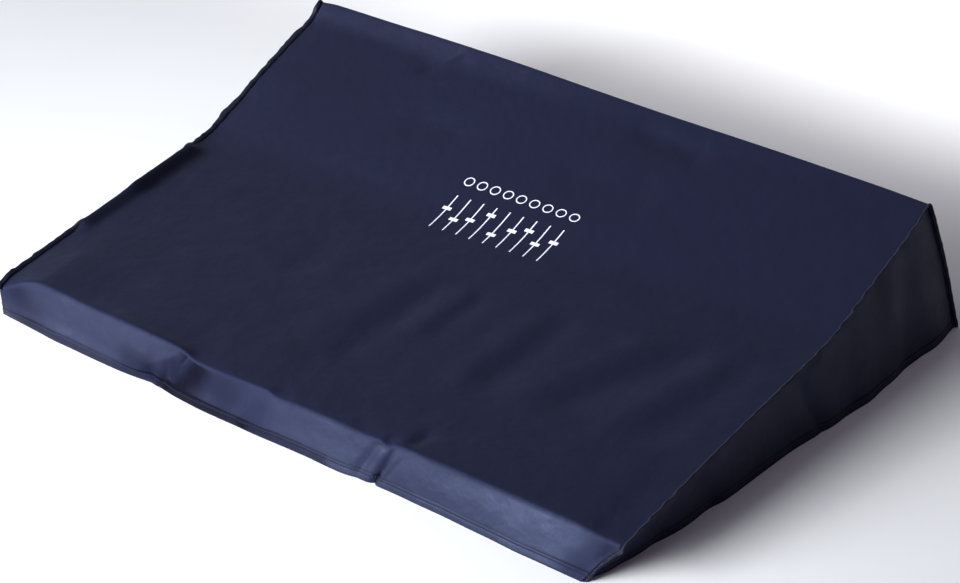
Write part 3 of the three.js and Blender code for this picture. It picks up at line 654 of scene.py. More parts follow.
def gusset_grid(sign, hem_table, fold_table):
    """A gusset's middle surface as a grid, and each point's height above its hem."""
    column = 1 if sign < 0 else -2
    normals = grid_normals(strip)[:, column]
    inset = strip_thickness[:, column] / 2 + SEAM_GAP
    seam = strip[:, column] - normals * inset[:, None]
    seam[0, 2] = seam[-1, 2] = 0
    fold, edge = middle_row[FRONT_FOLD], middle_row[BACK_EDGE]
    front, top, back = seam[:fold + 1], seam[fold:edge + 1], seam[edge:][::-1]
    shares = (top[:, 1] - top[0, 1]) / (top[-1, 1] - top[0, 1])
    keep = np.searchsorted(shares, np.linspace(0, 1, GUSSET_COLUMNS)).clip(0, len(top) - 1)
    keep = np.union1d([0, len(top) - 1], keep)
    top, shares = top[keep], shares[keep]

    def hem_point(share):
        y = seam[0, 1] + (seam[-1, 1] - seam[0, 1]) * share
        return np.stack([sign * table_value(hem_table, y, 1), y, 0 * y], axis=-1)

    ends = np.stack([seam[0], seam[-1]])
    errors = ends - hem_point(np.array([0.0, 1.0]))
    low = (
        hem_point(shares) + errors[0] * (1 - ease(shares, 0, HEM_JOIN))[:, None]
        + errors[1] * ease(shares, 1 - HEM_JOIN, 1)[:, None]
    )
    height = np.linalg.norm(top - low, axis=1)
    rows = [mark / height for mark in [0.0, *HEM_ROWS]]
    rows += [rows[-1] * (1 - share) + share for share in np.linspace(0, 1, GUSSET_STEPS)[1:]]
    w = np.array(rows)[:, :, None]
    s = shares[None, :, None]
    corners = ends[0] * (1 - s) * (1 - w) + ends[1] * s * (1 - w)
    corners = corners + top[0] * (1 - s) * w + top[-1] * s * w
    grid = (
        low * (1 - w) + top * w - corners
        + along_line(front, w[:, :, 0].ravel()).reshape(w.shape[0], -1, 3) * (1 - s)
        + along_line(back, w[:, :, 0].ravel()).reshape(w.shape[0], -1, 3) * s
    )
    nearest = np.minimum(np.minimum(s, 1 - s), 1 - w)[:, :, 0]
    calm = ease(nearest, 0, GUSSET_CALM)
    grid[:, :, 0] += sign * calm * fold_height(fold_table, grid[:, :, 1], grid[:, :, 2])
    heights = w[:, :, 0] * height[None, :]
    if sign < 0:
        grid, heights = grid[:, ::-1], heights[:, ::-1]
    return grid, heights


def gusset_sheet(name, sign, hem_table, fold_table):
    """One side piece, with its grid and its heights for the steps to come."""
    grid, heights = gusset_grid(sign, hem_table, fold_table)
    uv = np.stack([grid[:, :, 1], grid_lengths(grid, 0)], axis=-1)
    worn = GUSSET_EDGE_WEAR_AND_HIGHLIGHT * np.exp(-((heights / GUSSET_EDGE) ** 2))
    piece = cloth_sheet(
        name, grid, hem_thickness(heights), uv, hem_shade(heights), worn, 0 * heights, (0,))
    print(name, grid.shape[:2], len(piece.data.polygons), "faces")
    return piece, grid, heights


right_gusset, right_grid, right_heights = gusset_sheet(
    "right_side_cloth", 1, RIGHT_HEM, RIGHT_FOLDS)
left_gusset, left_grid, left_heights = gusset_sheet(
    "left_side_cloth", -1, LEFT_HEM, LEFT_FOLDS)

# %% [markdown]
# ## The seam tapes
# A strip of tape is folded over the raw edges of each side seam and sewn through, so it stands out
# from the seam as a narrow lip. It could be a curve with a bevel profile, but a curve twists by
# its own rule, and this lip leans more in some places than in others. So the first step works out,
# for each point of a seam, in which direction the lip stands there. The lean comes from a table.

# %% Where the tapes stand
# count along the strip, the left and right tape's angle from outwards, height, pucker
TAPE_TURNS = [
    (0, 122, 118, 6, 0.2), (1.5, 122, 112, 6.2, 0.4), (1.88, 60, 85, 6.8, 0.8), (2, 30, 60, 7, 1),
    (2.15, 38, 50, 7, 1), (2.4, 52, 46, 7, 0.9), (2.8, 56, 45, 7, 0.4), (2.88, 90, 45, 7, 0.3),
    (2.96, 125, 45, 7, 0.3), (3.85, 125, 45, 7, 0.5), (4, 60, 44, 7, 1), (4.2, 68, 45, 8, 1),
    (4.4, 72, 45, 9.8, 0.8), (4.65, 72, 45, 9, 0.8), (4.9, 72, 45, 7.2, 0.8),
    (5.15, 72, 45, 7.5, 0.7), (5.4, 72, 45, 8.4, 0.7), (5.67, 72, 45, 8.8, 0.6),
    (5.93, 72, 45, 7, 0.6), (6.2, 72, 45, 7, 0.6), (6.9, 40, 60, 6.5, 0.6), (7, 60, 85, 6, 0.4),
    (7.4, 60, 62, 5.5, 0.3), (9, 45, 50, 5.5, 0.3),
]
TAPE_THICK, TAPE_SUNK = 1.8, 1.2  # its thickness, and how deep its foot sits in the cloth


def tape_frames(sign):
    """Along a seam: its point, and the direction in which the tape stands out there."""
    column = 1 if sign < 0 else -2
    points, leans = strip[:, column], strip_leans[:, column]
    ahead = np.gradient(points, axis=0)
    ahead /= np.linalg.norm(ahead, axis=1, keepdims=True)
    sideways = np.cross(ahead, leans)
    sideways /= np.linalg.norm(sideways, axis=1, keepdims=True)
    angle = np.radians(table_value(TAPE_TURNS, along, 1 if sign < 0 else 2))[:, None]
    rise = leans * np.cos(angle) + sideways * sign * np.sin(angle)
    wide = np.cross(ahead, rise)
    wide /= np.linalg.norm(wide, axis=1, keepdims=True)
    return points, ahead, rise, wide, angle[:, 0]


def tape_foot(sign, angle):
    """How far from the seam's middle a tape starts, a little inside the cloth."""
    half = strip_thickness[:, 1 if sign < 0 else -2] / 2
    beside = half / np.clip(np.sin(angle), 0.3, 1)
    above = half * np.abs(np.cos(angle)) + 1.0
    return np.where(angle > math.pi / 2, beside, above) - TAPE_SUNK


print("right tape leans by", [round(float(table_value(TAPE_TURNS, k, 2))) for k in (0.5, 3.5, 8.5)],
      "degrees on skirt, top and drop")

# %% [markdown]
# ## Sweeping the tape's section
# A closed outline of thirteen points is carried along the seam and joined from place to place. The
# outline is a folded tape seen from its end, with a groove on both sides where the thread runs.
# Two or three waves of different length make the tape pucker as a sewn edge does. Random numbers
# would give a rough edge, but waves give the soft, uneven lip of a real binding.

# %% The two tapes
TAPE_OUTLINE = [  # across the tape, and how far out
    (-0.5, 0.0), (0.5, 0.0), (0.5, 0.3), (0.42, 0.42), (0.5, 0.56), (0.5, 0.84), (0.36, 0.95),
    (0.0, 1.0), (-0.36, 0.95), (-0.5, 0.84), (-0.5, 0.56), (-0.42, 0.42), (-0.5, 0.3),
]
TAPE_GROOVE = (3, 11)  # the points of the outline in the sewn grooves
TAPE_FOOT = (0, 1, 2, 12)  # the points next to the cloth, which lie in shade
# how much painted shade a tape's sewn grooves get, against 1 in a hem
TAPE_GROOVE_SHADE = 0.7  # a tape is sewn less tight than a hem
TAPE_WIDE = 7  # its usual width, which the weave is drawn by
TAPE_FLOOR = 0.2  # lowest height of a tape
PUCKER = 0.9  # how high and how far aside a full pucker moves the lip


def tape_sheet(name, sign):
    """One tape: its outline swept along a seam, with soft puckers."""
    points, ahead, rise, wide, angle = tape_frames(sign)
    foot = tape_foot(sign, angle)
    run = grid_lengths(points, 0)
    pucker = table_value(TAPE_TURNS, along, 4)
    # a wave is as long as its number times two pi, and the sides have different ones
    wave = 0.45 * np.sin(run / 2.9 + sign) + 0.4 * np.sin(run / 1.9) + 0.3 * np.sin(run / 7.3)
    high = table_value(TAPE_TURNS, along, 3) + PUCKER * pucker * wave
    bulge = TAPE_THICK * (1 + 0.5 * pucker * np.sin(run / 2.3 + 2 * np.sin(run / 9.1)))
    sway = PUCKER * pucker * np.sin(run / 3.7 + sign)
    ring = np.array([
        points + rise * (foot + h * high)[:, None] + wide * (w * bulge + h * sway)[:, None]
        for w, h in TAPE_OUTLINE
    ]).transpose(1, 0, 2)
    ring[:, :, 2] = np.maximum(ring[:, :, 2], TAPE_FLOOR)
    for end in (0, -1):
        ring[end] += ahead[end] * ((TAPE_FLOOR - ring[end][:, 2]) / ahead[end][2])[:, None]
    count, n = ring.shape[:2]
    index = np.arange(count * n).reshape(count, n)
    after = np.roll(index, -1, axis=1)
    walls = np.stack([index[:-1], index[1:], after[1:], after[:-1]], axis=-1).reshape(-1, 4)
    uv = np.stack([
        np.broadcast_to([w * TAPE_THICK + h * TAPE_WIDE for w, h in TAPE_OUTLINE], (count, n)),
        np.broadcast_to(run[:, None], (count, n)),
    ], axis=-1)
    # the lip is rubbed in front of the front fold, and behind it its foot gets painted shade
    worn = np.broadcast_to((1 - ease(along, 1.6, 2.2))[:, None], (count, n))
    behind_fold = ease(along, 1.7, 2.1)[:, None]
    pressed, deep = np.zeros((count, n)), np.zeros((count, n))
    pressed[:, list(TAPE_GROOVE)] = TAPE_GROOVE_SHADE
    pressed[:, list(TAPE_FOOT)] = behind_fold
    deep[:, list(TAPE_FOOT)] = behind_fold
    piece = new_piece(
        name, ring.reshape(-1, 3), walls.tolist() + [index[0].tolist(), index[-1][::-1].tolist()],
        uv=uv.reshape(-1, 2), fields={"pressed": pressed, "worn": worn, "deep": deep}, sharp=60,
    )
    print(name, len(piece.data.polygons), "faces")
    return piece


right_tape = tape_sheet("right_tape", 1)
left_tape = tape_sheet("left_tape", -1)

# %% [markdown]
# ## Wiring nodes
# The stitches, the finishes and the studio's walls are all small networks of nodes. Each node
# takes three or four lines to add by hand, so a few helpers add one with its values and links in a
# single line. The networks could be drawn in the node editor instead, but then their numbers would
# be out of sight here.

# %% Helpers for nodes
def is_socket(given):
    """Whether something is another node's output, and not a plain value."""
    return isinstance(given, bpy.types.NodeSocket)


class Wiring:
    """Short names for adding nodes and links to one tree of nodes."""

    def __init__(self, tree):
        self.nodes, self.links = tree.nodes, tree.links

    def give(self, node, values):
        """Links an input to a socket, or sets it to anything else."""
        for socket, given in values.items():
            if is_socket(given):
                self.links.new(given, node.inputs[socket])
            else:
                node.inputs[socket].default_value = given

    def node(self, kind, values=None, **settings):
        """A new node with its settings and the values of its inputs."""
        node = self.nodes.new(kind)
        for key, setting in settings.items():
            setattr(node, key, setting)
        self.give(node, values or {})
        return node

    def math(self, operation, a, b=0.0, clamp=False):
        node = self.node("ShaderNodeMath", {0: a, 1: b}, operation=operation, use_clamp=clamp)
        return node.outputs[0]

    def stretched(self, source, scale):
        return self.node("ShaderNodeMapping", {"Vector": source, "Scale": scale}).outputs[0]

    def noise(self, vector, scale, detail=2.0):
        values = {"Vector": vector, "Scale": scale, "Detail": detail}
        return self.node("ShaderNodeTexNoise", values).outputs["Fac"]

    def named(self, name):
        """One of the values at the points of a mesh."""
        return self.node("ShaderNodeAttribute", attribute_name=name).outputs["Fac"]

    def remap(self, given, low, high, to_low, to_high, **settings):
        return self.node("ShaderNodeMapRange", {
            "Value": given, "From Min": low, "From Max": high, "To Min": to_low, "To Max": to_high,
        }, **settings).outputs[0]

    def mixed(self, share, a, b):
        a, b = (given if is_socket(given) else (*given, 1) for given in (a, b))
        return self.node("ShaderNodeMix", {0: share, 6: a, 7: b}, data_type="RGBA").outputs[2]

    def bump(self, height, distance, **values):
        values = {"Height": height, "Distance": distance, **values}
        return self.node("ShaderNodeBump", values).outputs[0]


print("short names:", ", ".join(kind for kind in vars(Wiring) if kind[0] != "_"))

# %% [markdown]
# ## Stitches
# A lockstitch is one short thread after another, so it is made with Geometry Nodes: a row is a
# line of points on the cloth, and the tree puts one small stitch at every step along it. An array
# would repeat a stitch too, but it would not keep an even step round a fold. The sizes are named
# inputs, so a coarser thread is one number away. The instances are made real at the end, because
# an exported mesh can't hold instances.

# %% The stitch tree
STITCH_SOCKETS = (  # name, way, kind, value
    ("Geometry", "INPUT", "Geometry", None), ("Pitch", "INPUT", "Float", 0.0034),
    ("Stitch length", "INPUT", "Float", 0.0027), ("Thread width", "INPUT", "Float", 0.00055),
    ("Uneven", "INPUT", "Float", 0.12), ("Seed", "INPUT", "Int", 7),
    ("Thread", "INPUT", "Material", None), ("Geometry", "OUTPUT", "Geometry", None),
)


def stitch_tree():
    """The node tree that puts one stitch at every step along a line of points."""
    tree = bpy.data.node_groups.new("stitch row", "GeometryNodeTree")
    for name, way, kind, value in STITCH_SOCKETS:
        socket = tree.interface.new_socket(name, in_out=way, socket_type="NodeSocket" + kind)
        if value is not None:
            socket.default_value = value
    wire = Wiring(tree)
    given = wire.node("NodeGroupInput").outputs
    curve = wire.node("GeometryNodeMeshToCurve", {"Mesh": given["Geometry"]})
    spaced = wire.node("GeometryNodeResampleCurve", {
        "Curve": curve.outputs["Curve"], "Length": given["Pitch"],
    }, mode="LENGTH")
    thread = wire.node("GeometryNodeMeshUVSphere", {"Segments": 6, "Rings": 4, "Radius": 0.5})
    size = wire.node("ShaderNodeCombineXYZ", {
        "X": given["Thread width"], "Y": given["Thread width"], "Z": given["Stitch length"],
    })
    stitch = wire.node("GeometryNodeTransform", {
        "Geometry": thread.outputs["Mesh"], "Scale": size.outputs["Vector"],
    })
    tangent = wire.node("GeometryNodeInputTangent").outputs["Tangent"]
    turned = wire.node("FunctionNodeAlignRotationToVector", {"Vector": tangent}, axis="Z")
    uneven = wire.node("FunctionNodeRandomValue", {
        2: wire.math("SUBTRACT", 1.0, given["Uneven"]), 3: 1.0, "Seed": given["Seed"],
    })
    placed = wire.node("GeometryNodeInstanceOnPoints", {
        "Points": spaced.outputs["Curve"], "Instance": stitch.outputs["Geometry"],
        "Rotation": turned.outputs["Rotation"], "Scale": uneven.outputs[1],
    })
    real = wire.node("GeometryNodeRealizeInstances", {"Geometry": placed.outputs["Instances"]})
    sewn = wire.node("GeometryNodeSetMaterial", {
        "Geometry": real.outputs["Geometry"], "Material": given["Thread"],
    })
    wire.node("NodeGroupOutput", {"Geometry": sewn.outputs["Geometry"]})
    return tree


stitch_rows = stitch_tree()
print("stitch tree:", len(stitch_rows.nodes), "nodes")

# %% [markdown]
# ## Where the needle went
# The hem's stitches lie in its lower groove, on the outside. The tapes are sewn through near their
# foot, so a row shows on both faces. The rows could be drawn as curves by hand, but found on the
# pieces that are already made, they follow when a table is changed.

# %% The lines to sew
NEAR_HEM = 40  # rows that are searched, counted from the hem
TAPE_THREAD = 3.2  # how far out of a tape's foot its thread runs
TAPE_THREAD_SIDE = 0.45  # how far it lies from the tape's middle, as a share of the thickness
SEWN_FROM = 2.0  # no stitch of a tape starts lower than this


def outer_line(grid, thickness, heights, wanted, hem_is_last=False):
    """The line on a sheet's outside at a wanted height, one point a column."""
    outside = grid + grid_normals(grid) * (0.5 * thickness)[:, :, None]
    rows = np.arange(len(grid))[::-1][:NEAR_HEM] if hem_is_last else np.arange(NEAR_HEM)
    line = []
    for column in range(grid.shape[1]):
        order = rows[np.argsort(heights[rows, column])]
        rising = heights[order, column]
        line.append([np.interp(wanted, rising, outside[order, column, axis]) for axis in range(3)])
    return np.array(line)


def tape_line(sign, face):
    """The line on one face of a tape, from just above the floor to just above it again."""
    points, ahead, rise, wide, angle = tape_frames(sign)
    foot = tape_foot(sign, angle)
    line = points + rise * (foot + TAPE_THREAD)[:, None]
    line = line + wide * (face * TAPE_THICK * TAPE_THREAD_SIDE)
    return line[line[:, 2] > SEWN_FROM]


hem_lines = [
    outer_line(strip, strip_thickness, strip_height, GROOVES[0]),
    outer_line(strip, strip_thickness, strip_height, GROOVES[0], hem_is_last=True),
    outer_line(right_grid, hem_thickness(right_heights), right_heights, GROOVES[0]),
    outer_line(left_grid, hem_thickness(left_heights), left_heights, GROOVES[0]),
]
tape_lines = [tape_line(sign, face) for sign in (1, -1) for face in (1, -1)]
print("lines to sew:", len(hem_lines), "on hems and", len(tape_lines), "on tapes")

# %% [markdown]
# ## Sewing
# A line becomes a mesh of points and edges, the stitch tree is put on it as a modifier, and the
# result is taken off as a plain mesh, so that nothing live is left on the finished piece. The
# thread's material is only named here, and it gets its nodes with the other finishes.

# %% The rows of stitches
STITCH_FACES = 24  # faces of one stitch


def sew(name, lines, thread):
    """One object with a stitch row along every line."""
    points, edges = [], []
    for line in lines:
        start = len(points)
        points += (line * MM).tolist()
        edges += [(k, k + 1) for k in range(start, len(points) - 1)]
    mesh = bpy.data.meshes.new(name + "_rows")
    mesh.from_pydata(points, edges, [])
    rows = bpy.data.objects.new(name + "_rows", mesh)
    bpy.context.collection.objects.link(rows)
    sewing = rows.modifiers.new("stitches", "NODES")
    sewing.node_group = stitch_rows
    for item in stitch_rows.interface.items_tree:
        if item.item_type == "SOCKET" and item.in_out == "INPUT" and item.name == "Thread":
            sewing[item.identifier] = thread
    evaluated = rows.evaluated_get(bpy.context.evaluated_depsgraph_get())
    sewn = bpy.data.objects.new(name, bpy.data.meshes.new_from_object(evaluated))
    bpy.context.collection.objects.link(sewn)
    bpy.data.objects.remove(rows)
    print(name, len(sewn.data.polygons) // STITCH_FACES, "stitches")
    return sewn


thread_finish = bpy.data.materials.new("polyester thread")
hem_stitches = sew("hem_stitches", hem_lines, thread_finish)
tape_stitches = sew("tape_stitches", tape_lines, thread_finish)

# %% [markdown]
# ## The print
# A small design is screen-printed in the middle of the top. Here it is a plain drawing of what the
# cover protects: a row of faders with a ring above each. Screen ink lies on the cloth as a thin
# skin, so each shape is a thin solid bent onto the strip. A painted colour in the nylon's material
# would do too, but then the ink would share the cloth's weave and gloss. The first step finds the
# place on the cloth for a point of the flat drawing.

# %% From the drawing to the cloth
PRINT_AT = (-4, 80)  # middle of the print, x and y
INK_TOP, INK_SUNK = 0.18, 0.15  # how far the ink stands out of the cloth, and how deep it sits
outer_strip = strip + grid_normals(strip) * (0.5 * strip_thickness)[:, :, None]
top_rows = (along > FRONT_FOLD + 0.3) & (along < BACK_EDGE - 0.3)
mid = len(across) // 2  # the middle column of the strip
print_middle = float(np.interp(PRINT_AT[1], strip[top_rows, mid, 1], strip_along[top_rows, mid]))


def on_cloth(points, proud):
    """Places across and along the print, put on the strip's outside."""
    rows = np.interp(print_middle + points[:, 1], strip_along[:, mid], np.arange(len(along)))
    columns = np.interp(PRINT_AT[0] + points[:, 0], across, np.arange(len(across)))
    r, c = np.floor(rows).astype(int), np.floor(columns).astype(int)
    u, v = (rows - r)[:, None], (columns - c)[:, None]

    def mixed(field):
        return ((1 - u) * (1 - v) * field[r, c] + u * (1 - v) * field[r + 1, c]
                + (1 - u) * v * field[r, c + 1] + u * v * field[r + 1, c + 1])

    return mixed(outer_strip) + mixed(grid_normals(strip)) * proud


print("the print's middle is", round(print_middle), "mm along the strip")

# %% [markdown]
# ## Rings and bars
# The drawing needs only two shapes, a ring and a bar. They could be filled curves, but those stay
# flat, and the cloth isn't. So each is a few small faces. They are put on the cloth twice, a little
# above it and a little inside it, and walls close the gap round their edge. An edge of the drawing
# is one that only a single face has, which is how the walls find it.

# %% The printed faders
FADERS, PRINT_WIDE = 9, 144  # how many, and from the first to the last
SLOT, CAP, RING = (1.5, 54), (11, 4.6), (6.4, 1.3)  # width and length, and radius and line width
SLOT_AT, RING_AT = -16, 33  # how far in front of or behind the middle they stand
CAPS = [0.62, 0.38, 0.5, 0.78, 0.3, 0.56, 0.7, 0.42, 0.6]  # how far up each fader's cap stands


def ring_shape(radius, width, steps=28):
    """A flat ring: its points and its faces."""
    turn = np.arange(steps) / steps * 2 * math.pi
    circle = np.stack([np.cos(turn), np.sin(turn)], axis=-1)
    points = np.concatenate([circle * radius, circle * (radius - width)])
    k = np.arange(steps)
    n = (k + 1) % steps
    return points, np.stack([k, n, n + steps, k + steps], axis=-1)


def bar_shape(wide, long, steps):
    """A flat bar, cut into steps along its length so that it can bend."""
    v = np.linspace(-long / 2, long / 2, steps + 1)
    points = np.concatenate([np.stack([v * 0 + side, v], -1) for side in (wide / 2, -wide / 2)])
    k = np.arange(steps)
    return points, np.stack([k, k + 1, k + 2 + steps, k + 1 + steps], axis=-1)


ink_points, ink_faces = [], []


def print_shape(shape, middle):
    """Adds one shape of ink, as a thin closed solid."""
    flat, faces = shape
    flat = flat + np.array(middle)
    start = sum(len(p) for p in ink_points)
    n = len(flat)
    ink_points.append(on_cloth(flat, INK_TOP))
    ink_points.append(on_cloth(flat, -INK_SUNK))
    ink_faces.extend((faces + start).tolist())
    ink_faces.extend((faces[:, ::-1] + start + n).tolist())
    sides = {}
    for face in faces.tolist():
        for a, b in zip(face, face[1:] + face[:1]):
            if (b, a) in sides:
                del sides[(b, a)]
            else:
                sides[(a, b)] = True
    ink_faces.extend([[b + start, a + start, a + start + n, b + start + n] for a, b in sides])


for fader in range(FADERS):
    x = (fader / (FADERS - 1) - 0.5) * PRINT_WIDE
    print_shape(bar_shape(*SLOT, 18), (x, SLOT_AT))
    print_shape(bar_shape(*CAP, 2), (x, SLOT_AT + (CAPS[fader] - 0.5) * SLOT[1]))
    print_shape(ring_shape(*RING), (x, RING_AT))
print_piece = new_piece("printed_faders", np.concatenate(ink_points), ink_faces)
print("print:", len(print_piece.data.polygons), "faces")

# %% [markdown]
# ## Coated nylon
# Seen close, the cloth is a plain weave under a thin coating. A picture of a weave could be laid
# on it, but it would blur from near. The weave and the slubs in it are too fine to model, so they
# are bump from waves and noise. The cloth's own UV map is in metres, so the weave follows the
# drape. The coating gives a blue-tinted gloss: that is a tinted specular and a little sheen, while
# the noise only moves the roughness and the depth of the colour. "worn" makes the coating rougher,
# and where it is highest, on the lowest edge of a hem, it paints the colour paler: bare thread and
# a painted highlight. "pressed" and "deep" are painted shade: they take the colour towards dark and
# the tint of the gloss towards black, because a cloth this dark shows shade mostly in what it
# mirrors. The tape is the same recipe with other numbers.

# %% The nylon's finish
def finish(name):
    """A material by its name, with its shader and a helper for its nodes."""
    material = bpy.data.materials.get(name) or bpy.data.materials.new(name)
    material.use_nodes = True
    return material, material.node_tree.nodes["Principled BSDF"], Wiring(material.node_tree)


def woven_finish(name, colour, dark, pale, bare_edge_and_highlight, rough, patchy, patches, crumple, pitch,
                 gloss, tint, sheen):
    """A woven, coated cloth. patches and crumple set the noises, and pitch is the thread's."""
    material, shader, wire = finish(name)
    cloth = wire.node("ShaderNodeUVMap", uv_map="cloth").outputs[0]
    place = wire.node("ShaderNodeTexCoord").outputs["Object"]
    threads = [
        wire.node("ShaderNodeTexWave", {"Vector": cloth, "Scale": math.pi / (10 * pitch)},
                   bands_direction=axis).outputs["Fac"] for axis in ("X", "Y")
    ]
    weave = wire.math("MAXIMUM", *threads)
    slubs = wire.noise(wire.stretched(cloth, (620, 42, 1)), 1.0, 1.0)
    mottle = wire.noise(place, patches, 3.0)
    drape = wire.noise(place, crumple[0], 2.0)
    pressed, worn, deep = (wire.named(name) for name in ("pressed", "worn", "deep"))
    tone = wire.mixed(wire.remap(mottle, 0.3, 0.7, 0, 1), colour, pale)
    # painted shade: the sewn grooves and the deep places take the colour towards dark
    shaded = wire.math("MULTIPLY", wire.math("ADD", pressed, deep), 0.75, clamp=True)
    tone = wire.mixed(shaded, tone, dark)
    # where worn is highest, the colour turns paler: bare thread and a painted highlight
    tone = wire.mixed(wire.remap(worn, 1.4, 2.2, 0, 0.8), tone, bare_edge_and_highlight)
    roughness = wire.math("ADD", wire.remap(mottle, 0.25, 0.75, rough + patchy, rough - patchy),
                          wire.remap(slubs, 0.55, 0.8, 0.0, -0.1))
    rubbed = wire.math("MULTIPLY", worn, wire.remap(slubs, 0.3, 0.6, 0.26, 0.38), clamp=True)
    normal = wire.bump(drape, crumple[1])
    normal = wire.bump(slubs, 0.00006, Normal=normal)
    normal = wire.bump(weave, 0.00003, Normal=normal)
    # the same painted shade takes the tint of the gloss towards black
    sewn = wire.math("MULTIPLY", pressed, 0.6)
    painted_gloss_shade = wire.math("MULTIPLY", wire.math("ADD", deep, sewn), 0.9, clamp=True)
    # a viewer that can't follow the link of the tint shows this plain one
    wire.give(shader, {"Specular Tint": (*tint, 1)})
    wire.give(shader, {
        "Base Color": tone,
        "Roughness": wire.math("ADD", roughness, rubbed, clamp=True),
        "Normal": normal,
        "Specular IOR Level": gloss,
        "Specular Tint": wire.mixed(painted_gloss_shade, tint, (0, 0, 0)),
        "Sheen Weight": sheen, "Sheen Roughness": 0.5, "Sheen Tint": (*tint, 1),
    })
    return material


# dark is the colour of the painted shade, and the paler colour after it is the hem's lowest edge,
# bare thread with a painted highlight
navy = woven_finish(
    "coated nylon", colour=(0.0057, 0.0063, 0.0185), dark=(0.002, 0.002, 0.006),
    pale=(0.0068, 0.0075, 0.0212), bare_edge_and_highlight=(0.16, 0.16, 0.2), rough=0.46, patchy=0.08,
    patches=26, crumple=(55, 0.0009), pitch=0.0008, gloss=0.23, tint=(0.48, 0.59, 1.0), sheen=0.03,
)
# the tape's dark colour is its painted shade
tape_navy = woven_finish(
    "binding tape", colour=(0.0060, 0.0062, 0.0150), dark=(0.0015, 0.0015, 0.004),
    pale=(0.0110, 0.0108, 0.0210), bare_edge_and_highlight=(0.16, 0.16, 0.2), rough=0.6, patchy=0.16,
    patches=170, crumple=(210, 0.0011), pitch=0.0011, gloss=0.17, tint=(0.66, 0.68, 1.0),
    sheen=0.03,
)
print("woven finishes:", navy.name, "and", tape_navy.name)

# %% [markdown]
# ## Thread and ink
# The polyester thread is dark and a little shinier than the cloth. The ink is a pale lilac white
# that has lost some colour on the high threads. In both, one fine noise moves the colour, the
# gloss and the surface together. Three noises would be no better, because such fine grain is never
# seen apart.

# %% The thread's and the ink's finish
def grained_finish(name, grain, detail, shown, tones, rough, height):
    """A finish with one fine noise. shown is the part of the noise that runs between the tones."""
    material, shader, wire = finish(name)
    noise = wire.noise(wire.node("ShaderNodeTexCoord").outputs["Object"], grain, detail)
    wire.give(shader, {
        "Base Color": wire.mixed(wire.remap(noise, *shown, 0, 1), *tones),
        "Roughness": wire.remap(noise, *rough),
        "Normal": wire.bump(noise, height),
    })
    return material


thread = grained_finish(
    "polyester thread", grain=2600, detail=1, shown=(0, 1), height=0.00008,
    tones=[(0.006, 0.006, 0.014), (0.018, 0.018, 0.036)], rough=(0.2, 0.8, 0.35, 0.55),
)
ink = grained_finish(
    "screen ink", grain=900, detail=2, shown=(0.35, 0.75), height=0.00005,
    tones=[(0.72, 0.72, 0.82), (0.55, 0.55, 0.68)], rough=(0.3, 0.7, 0.5, 0.7),
)
for piece in (body_panel, right_gusset, left_gusset):
    piece.data.materials.append(navy)
for piece in (right_tape, left_tape):
    piece.data.materials.append(tape_navy)
print_piece.data.materials.append(ink)
print("grained finishes:", thread.name, "and", ink.name)

# %% [markdown]
# ## The floor
# The cover stands on a plain pale floor that reaches far past the picture. A curved backdrop would
# hide a horizon, but from this height no horizon shows, so one square is enough. It is stage and
# no part of the object.

# %% The floor
FLOOR = 20  # metres from the middle to a side
floor_finish, floor_shader, floor_wire = finish("pale floor")
floor_wire.give(floor_shader, {"Base Color": (0.9, 0.9, 0.9, 1), "Roughness": 0.9})
floor_mesh = bpy.data.meshes.new("floor")
floor_corners = [(x * FLOOR, y * FLOOR, 0) for x, y in ((-1, -1), (1, -1), (1, 1), (-1, 1))]
floor_mesh.from_pydata(floor_corners, [], [(0, 1, 2, 3)])
floor = bpy.data.objects.new("floor", floor_mesh)
bpy.context.collection.objects.link(floor)
floor.data.materials.append(floor_finish)
print("floor:", floor.name, [round(v) for v in floor.dimensions], "m")

# %% [markdown]
# ## The lamps
# One large, slightly cool softbox at the front left makes the skirt shine, and it leaves the top
# dark, because the top mirrors the back of the studio. A narrow lamp over the floor behind keeps
# the floor pale there. A small one over the left side lifts the steep strip in front of the back
# edge. A sun would give hard shadows, and a stronger softbox would bleach the skirt.

# %% The lamps
def soft_light(name, place, aim, size, radiance):
    """A rectangular lamp whose face has the given brightness, whatever its size."""
    light = bpy.data.lights.new(name, "AREA")
    light.shape, light.size, light.size_y = "RECTANGLE", size[0], size[1]
    light.energy = radiance * size[0] * size[1] * math.pi
    lamp = bpy.data.objects.new(name, light)
    bpy.context.collection.objects.link(lamp)
    lamp.location = place
    lamp.rotation_mode = "QUATERNION"
    lamp.rotation_quaternion = (Vector(aim) - Vector(place)).to_track_quat("-Z", "Y")
    return lamp


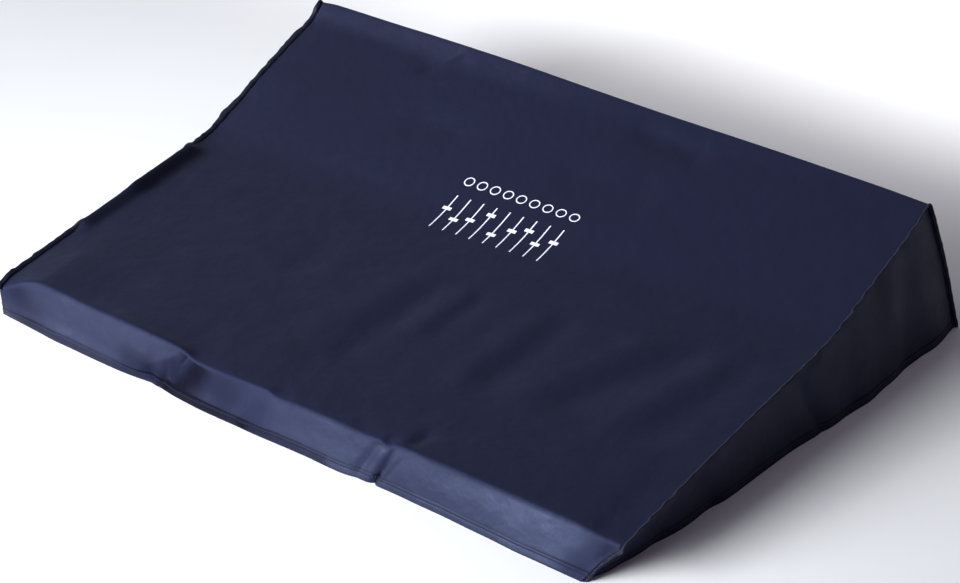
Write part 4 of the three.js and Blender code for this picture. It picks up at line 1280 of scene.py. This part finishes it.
softbox = soft_light("front softbox", (-1.0, -2.8, 0.85), (0, 0, 0.0), (1.9, 1.7), 31)
softbox.data.color = (0.93, 0.97, 1.0)
floor_lamp = soft_light("floor lamp", (-0.55, 1.25, 0.9), (-0.55, 1.25, 0), (2.0, 1.1), 1.2)
floor_lamp.data.spread = math.radians(45)
left_lamp = soft_light("left lamp", (-1.1, -0.25, 1.3), (-0.3, 0.26, 0.16), (0.4, 0.3), 1.15)
left_lamp.data.spread = math.radians(50)
print("lamps:", softbox.name, round(softbox.data.energy), "W,", floor_lamp.name,
      round(floor_lamp.data.energy), "W,", left_lamp.name, round(left_lamp.data.energy, 1), "W")

# %% [markdown]
# ## The walls of the studio
# Dark cloth is mostly seen by what it mirrors, so the room round it matters as much as the lamps.
# A plain grey world would light both slopes of the top alike. This one is pale on the upper left
# and darker on the right, with a soft change between them, which keeps the right side deep and the
# top even.

# %% The studio's walls
world = bpy.data.worlds.new("studio")
bpy.context.scene.world = world
world.use_nodes = True
wire = Wiring(world.node_tree)
facing = wire.node("ShaderNodeVectorMath", {
    0: wire.node("ShaderNodeTexCoord").outputs["Generated"], 1: (-0.8, 0.15, 0.58),
}, operation="DOT_PRODUCT")
fall = wire.remap(facing.outputs["Value"], 0.05, 0.85, 0, 1, interpolation_type="SMOOTHSTEP")
walls = wire.mixed(fall, (0.100, 0.084, 0.114), (0.303, 0.303, 0.343))
wire.give(world.node_tree.nodes["Background"], {"Color": walls, "Strength": 1.0})
bpy.context.scene.view_settings.view_transform = "Standard"
print("view transform:", bpy.context.scene.view_settings.view_transform)

# %% [markdown]
# ## Handing over the pieces
# Each finished piece is told which part of the packed model it rides on, and which solid it stands
# in for. The cover has no joint, so all of them ride on its one body. The stitches and the print
# replace no solid, because they are only a look.

# %% Riding and replacing
for piece, node, slot in (
    (body_panel, "body_panel", "coated_nylon"), (right_gusset, "right_gusset", "coated_nylon"),
    (left_gusset, "left_gusset", "coated_nylon"), (right_tape, "right_binding", "binding_tape"),
    (left_tape, "left_binding", "binding_tape"),
):
    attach(piece, "root")
    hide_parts(node)
    print(piece.name, "stands for", node)
for piece in (hem_stitches, tape_stitches, print_piece):
    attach(piece, "root")
    print(piece.name, "is only a look")

# %% [markdown]
# ## The flat cuts
# A cloth is also known by the flat piece that it was cut from. The grids follow the drape, so
# their rows and columns could be measured like a tape laid on the cloth, and their small squares
# would add up to the area. The strip lies over the desk, and the gussets hang from their seams.
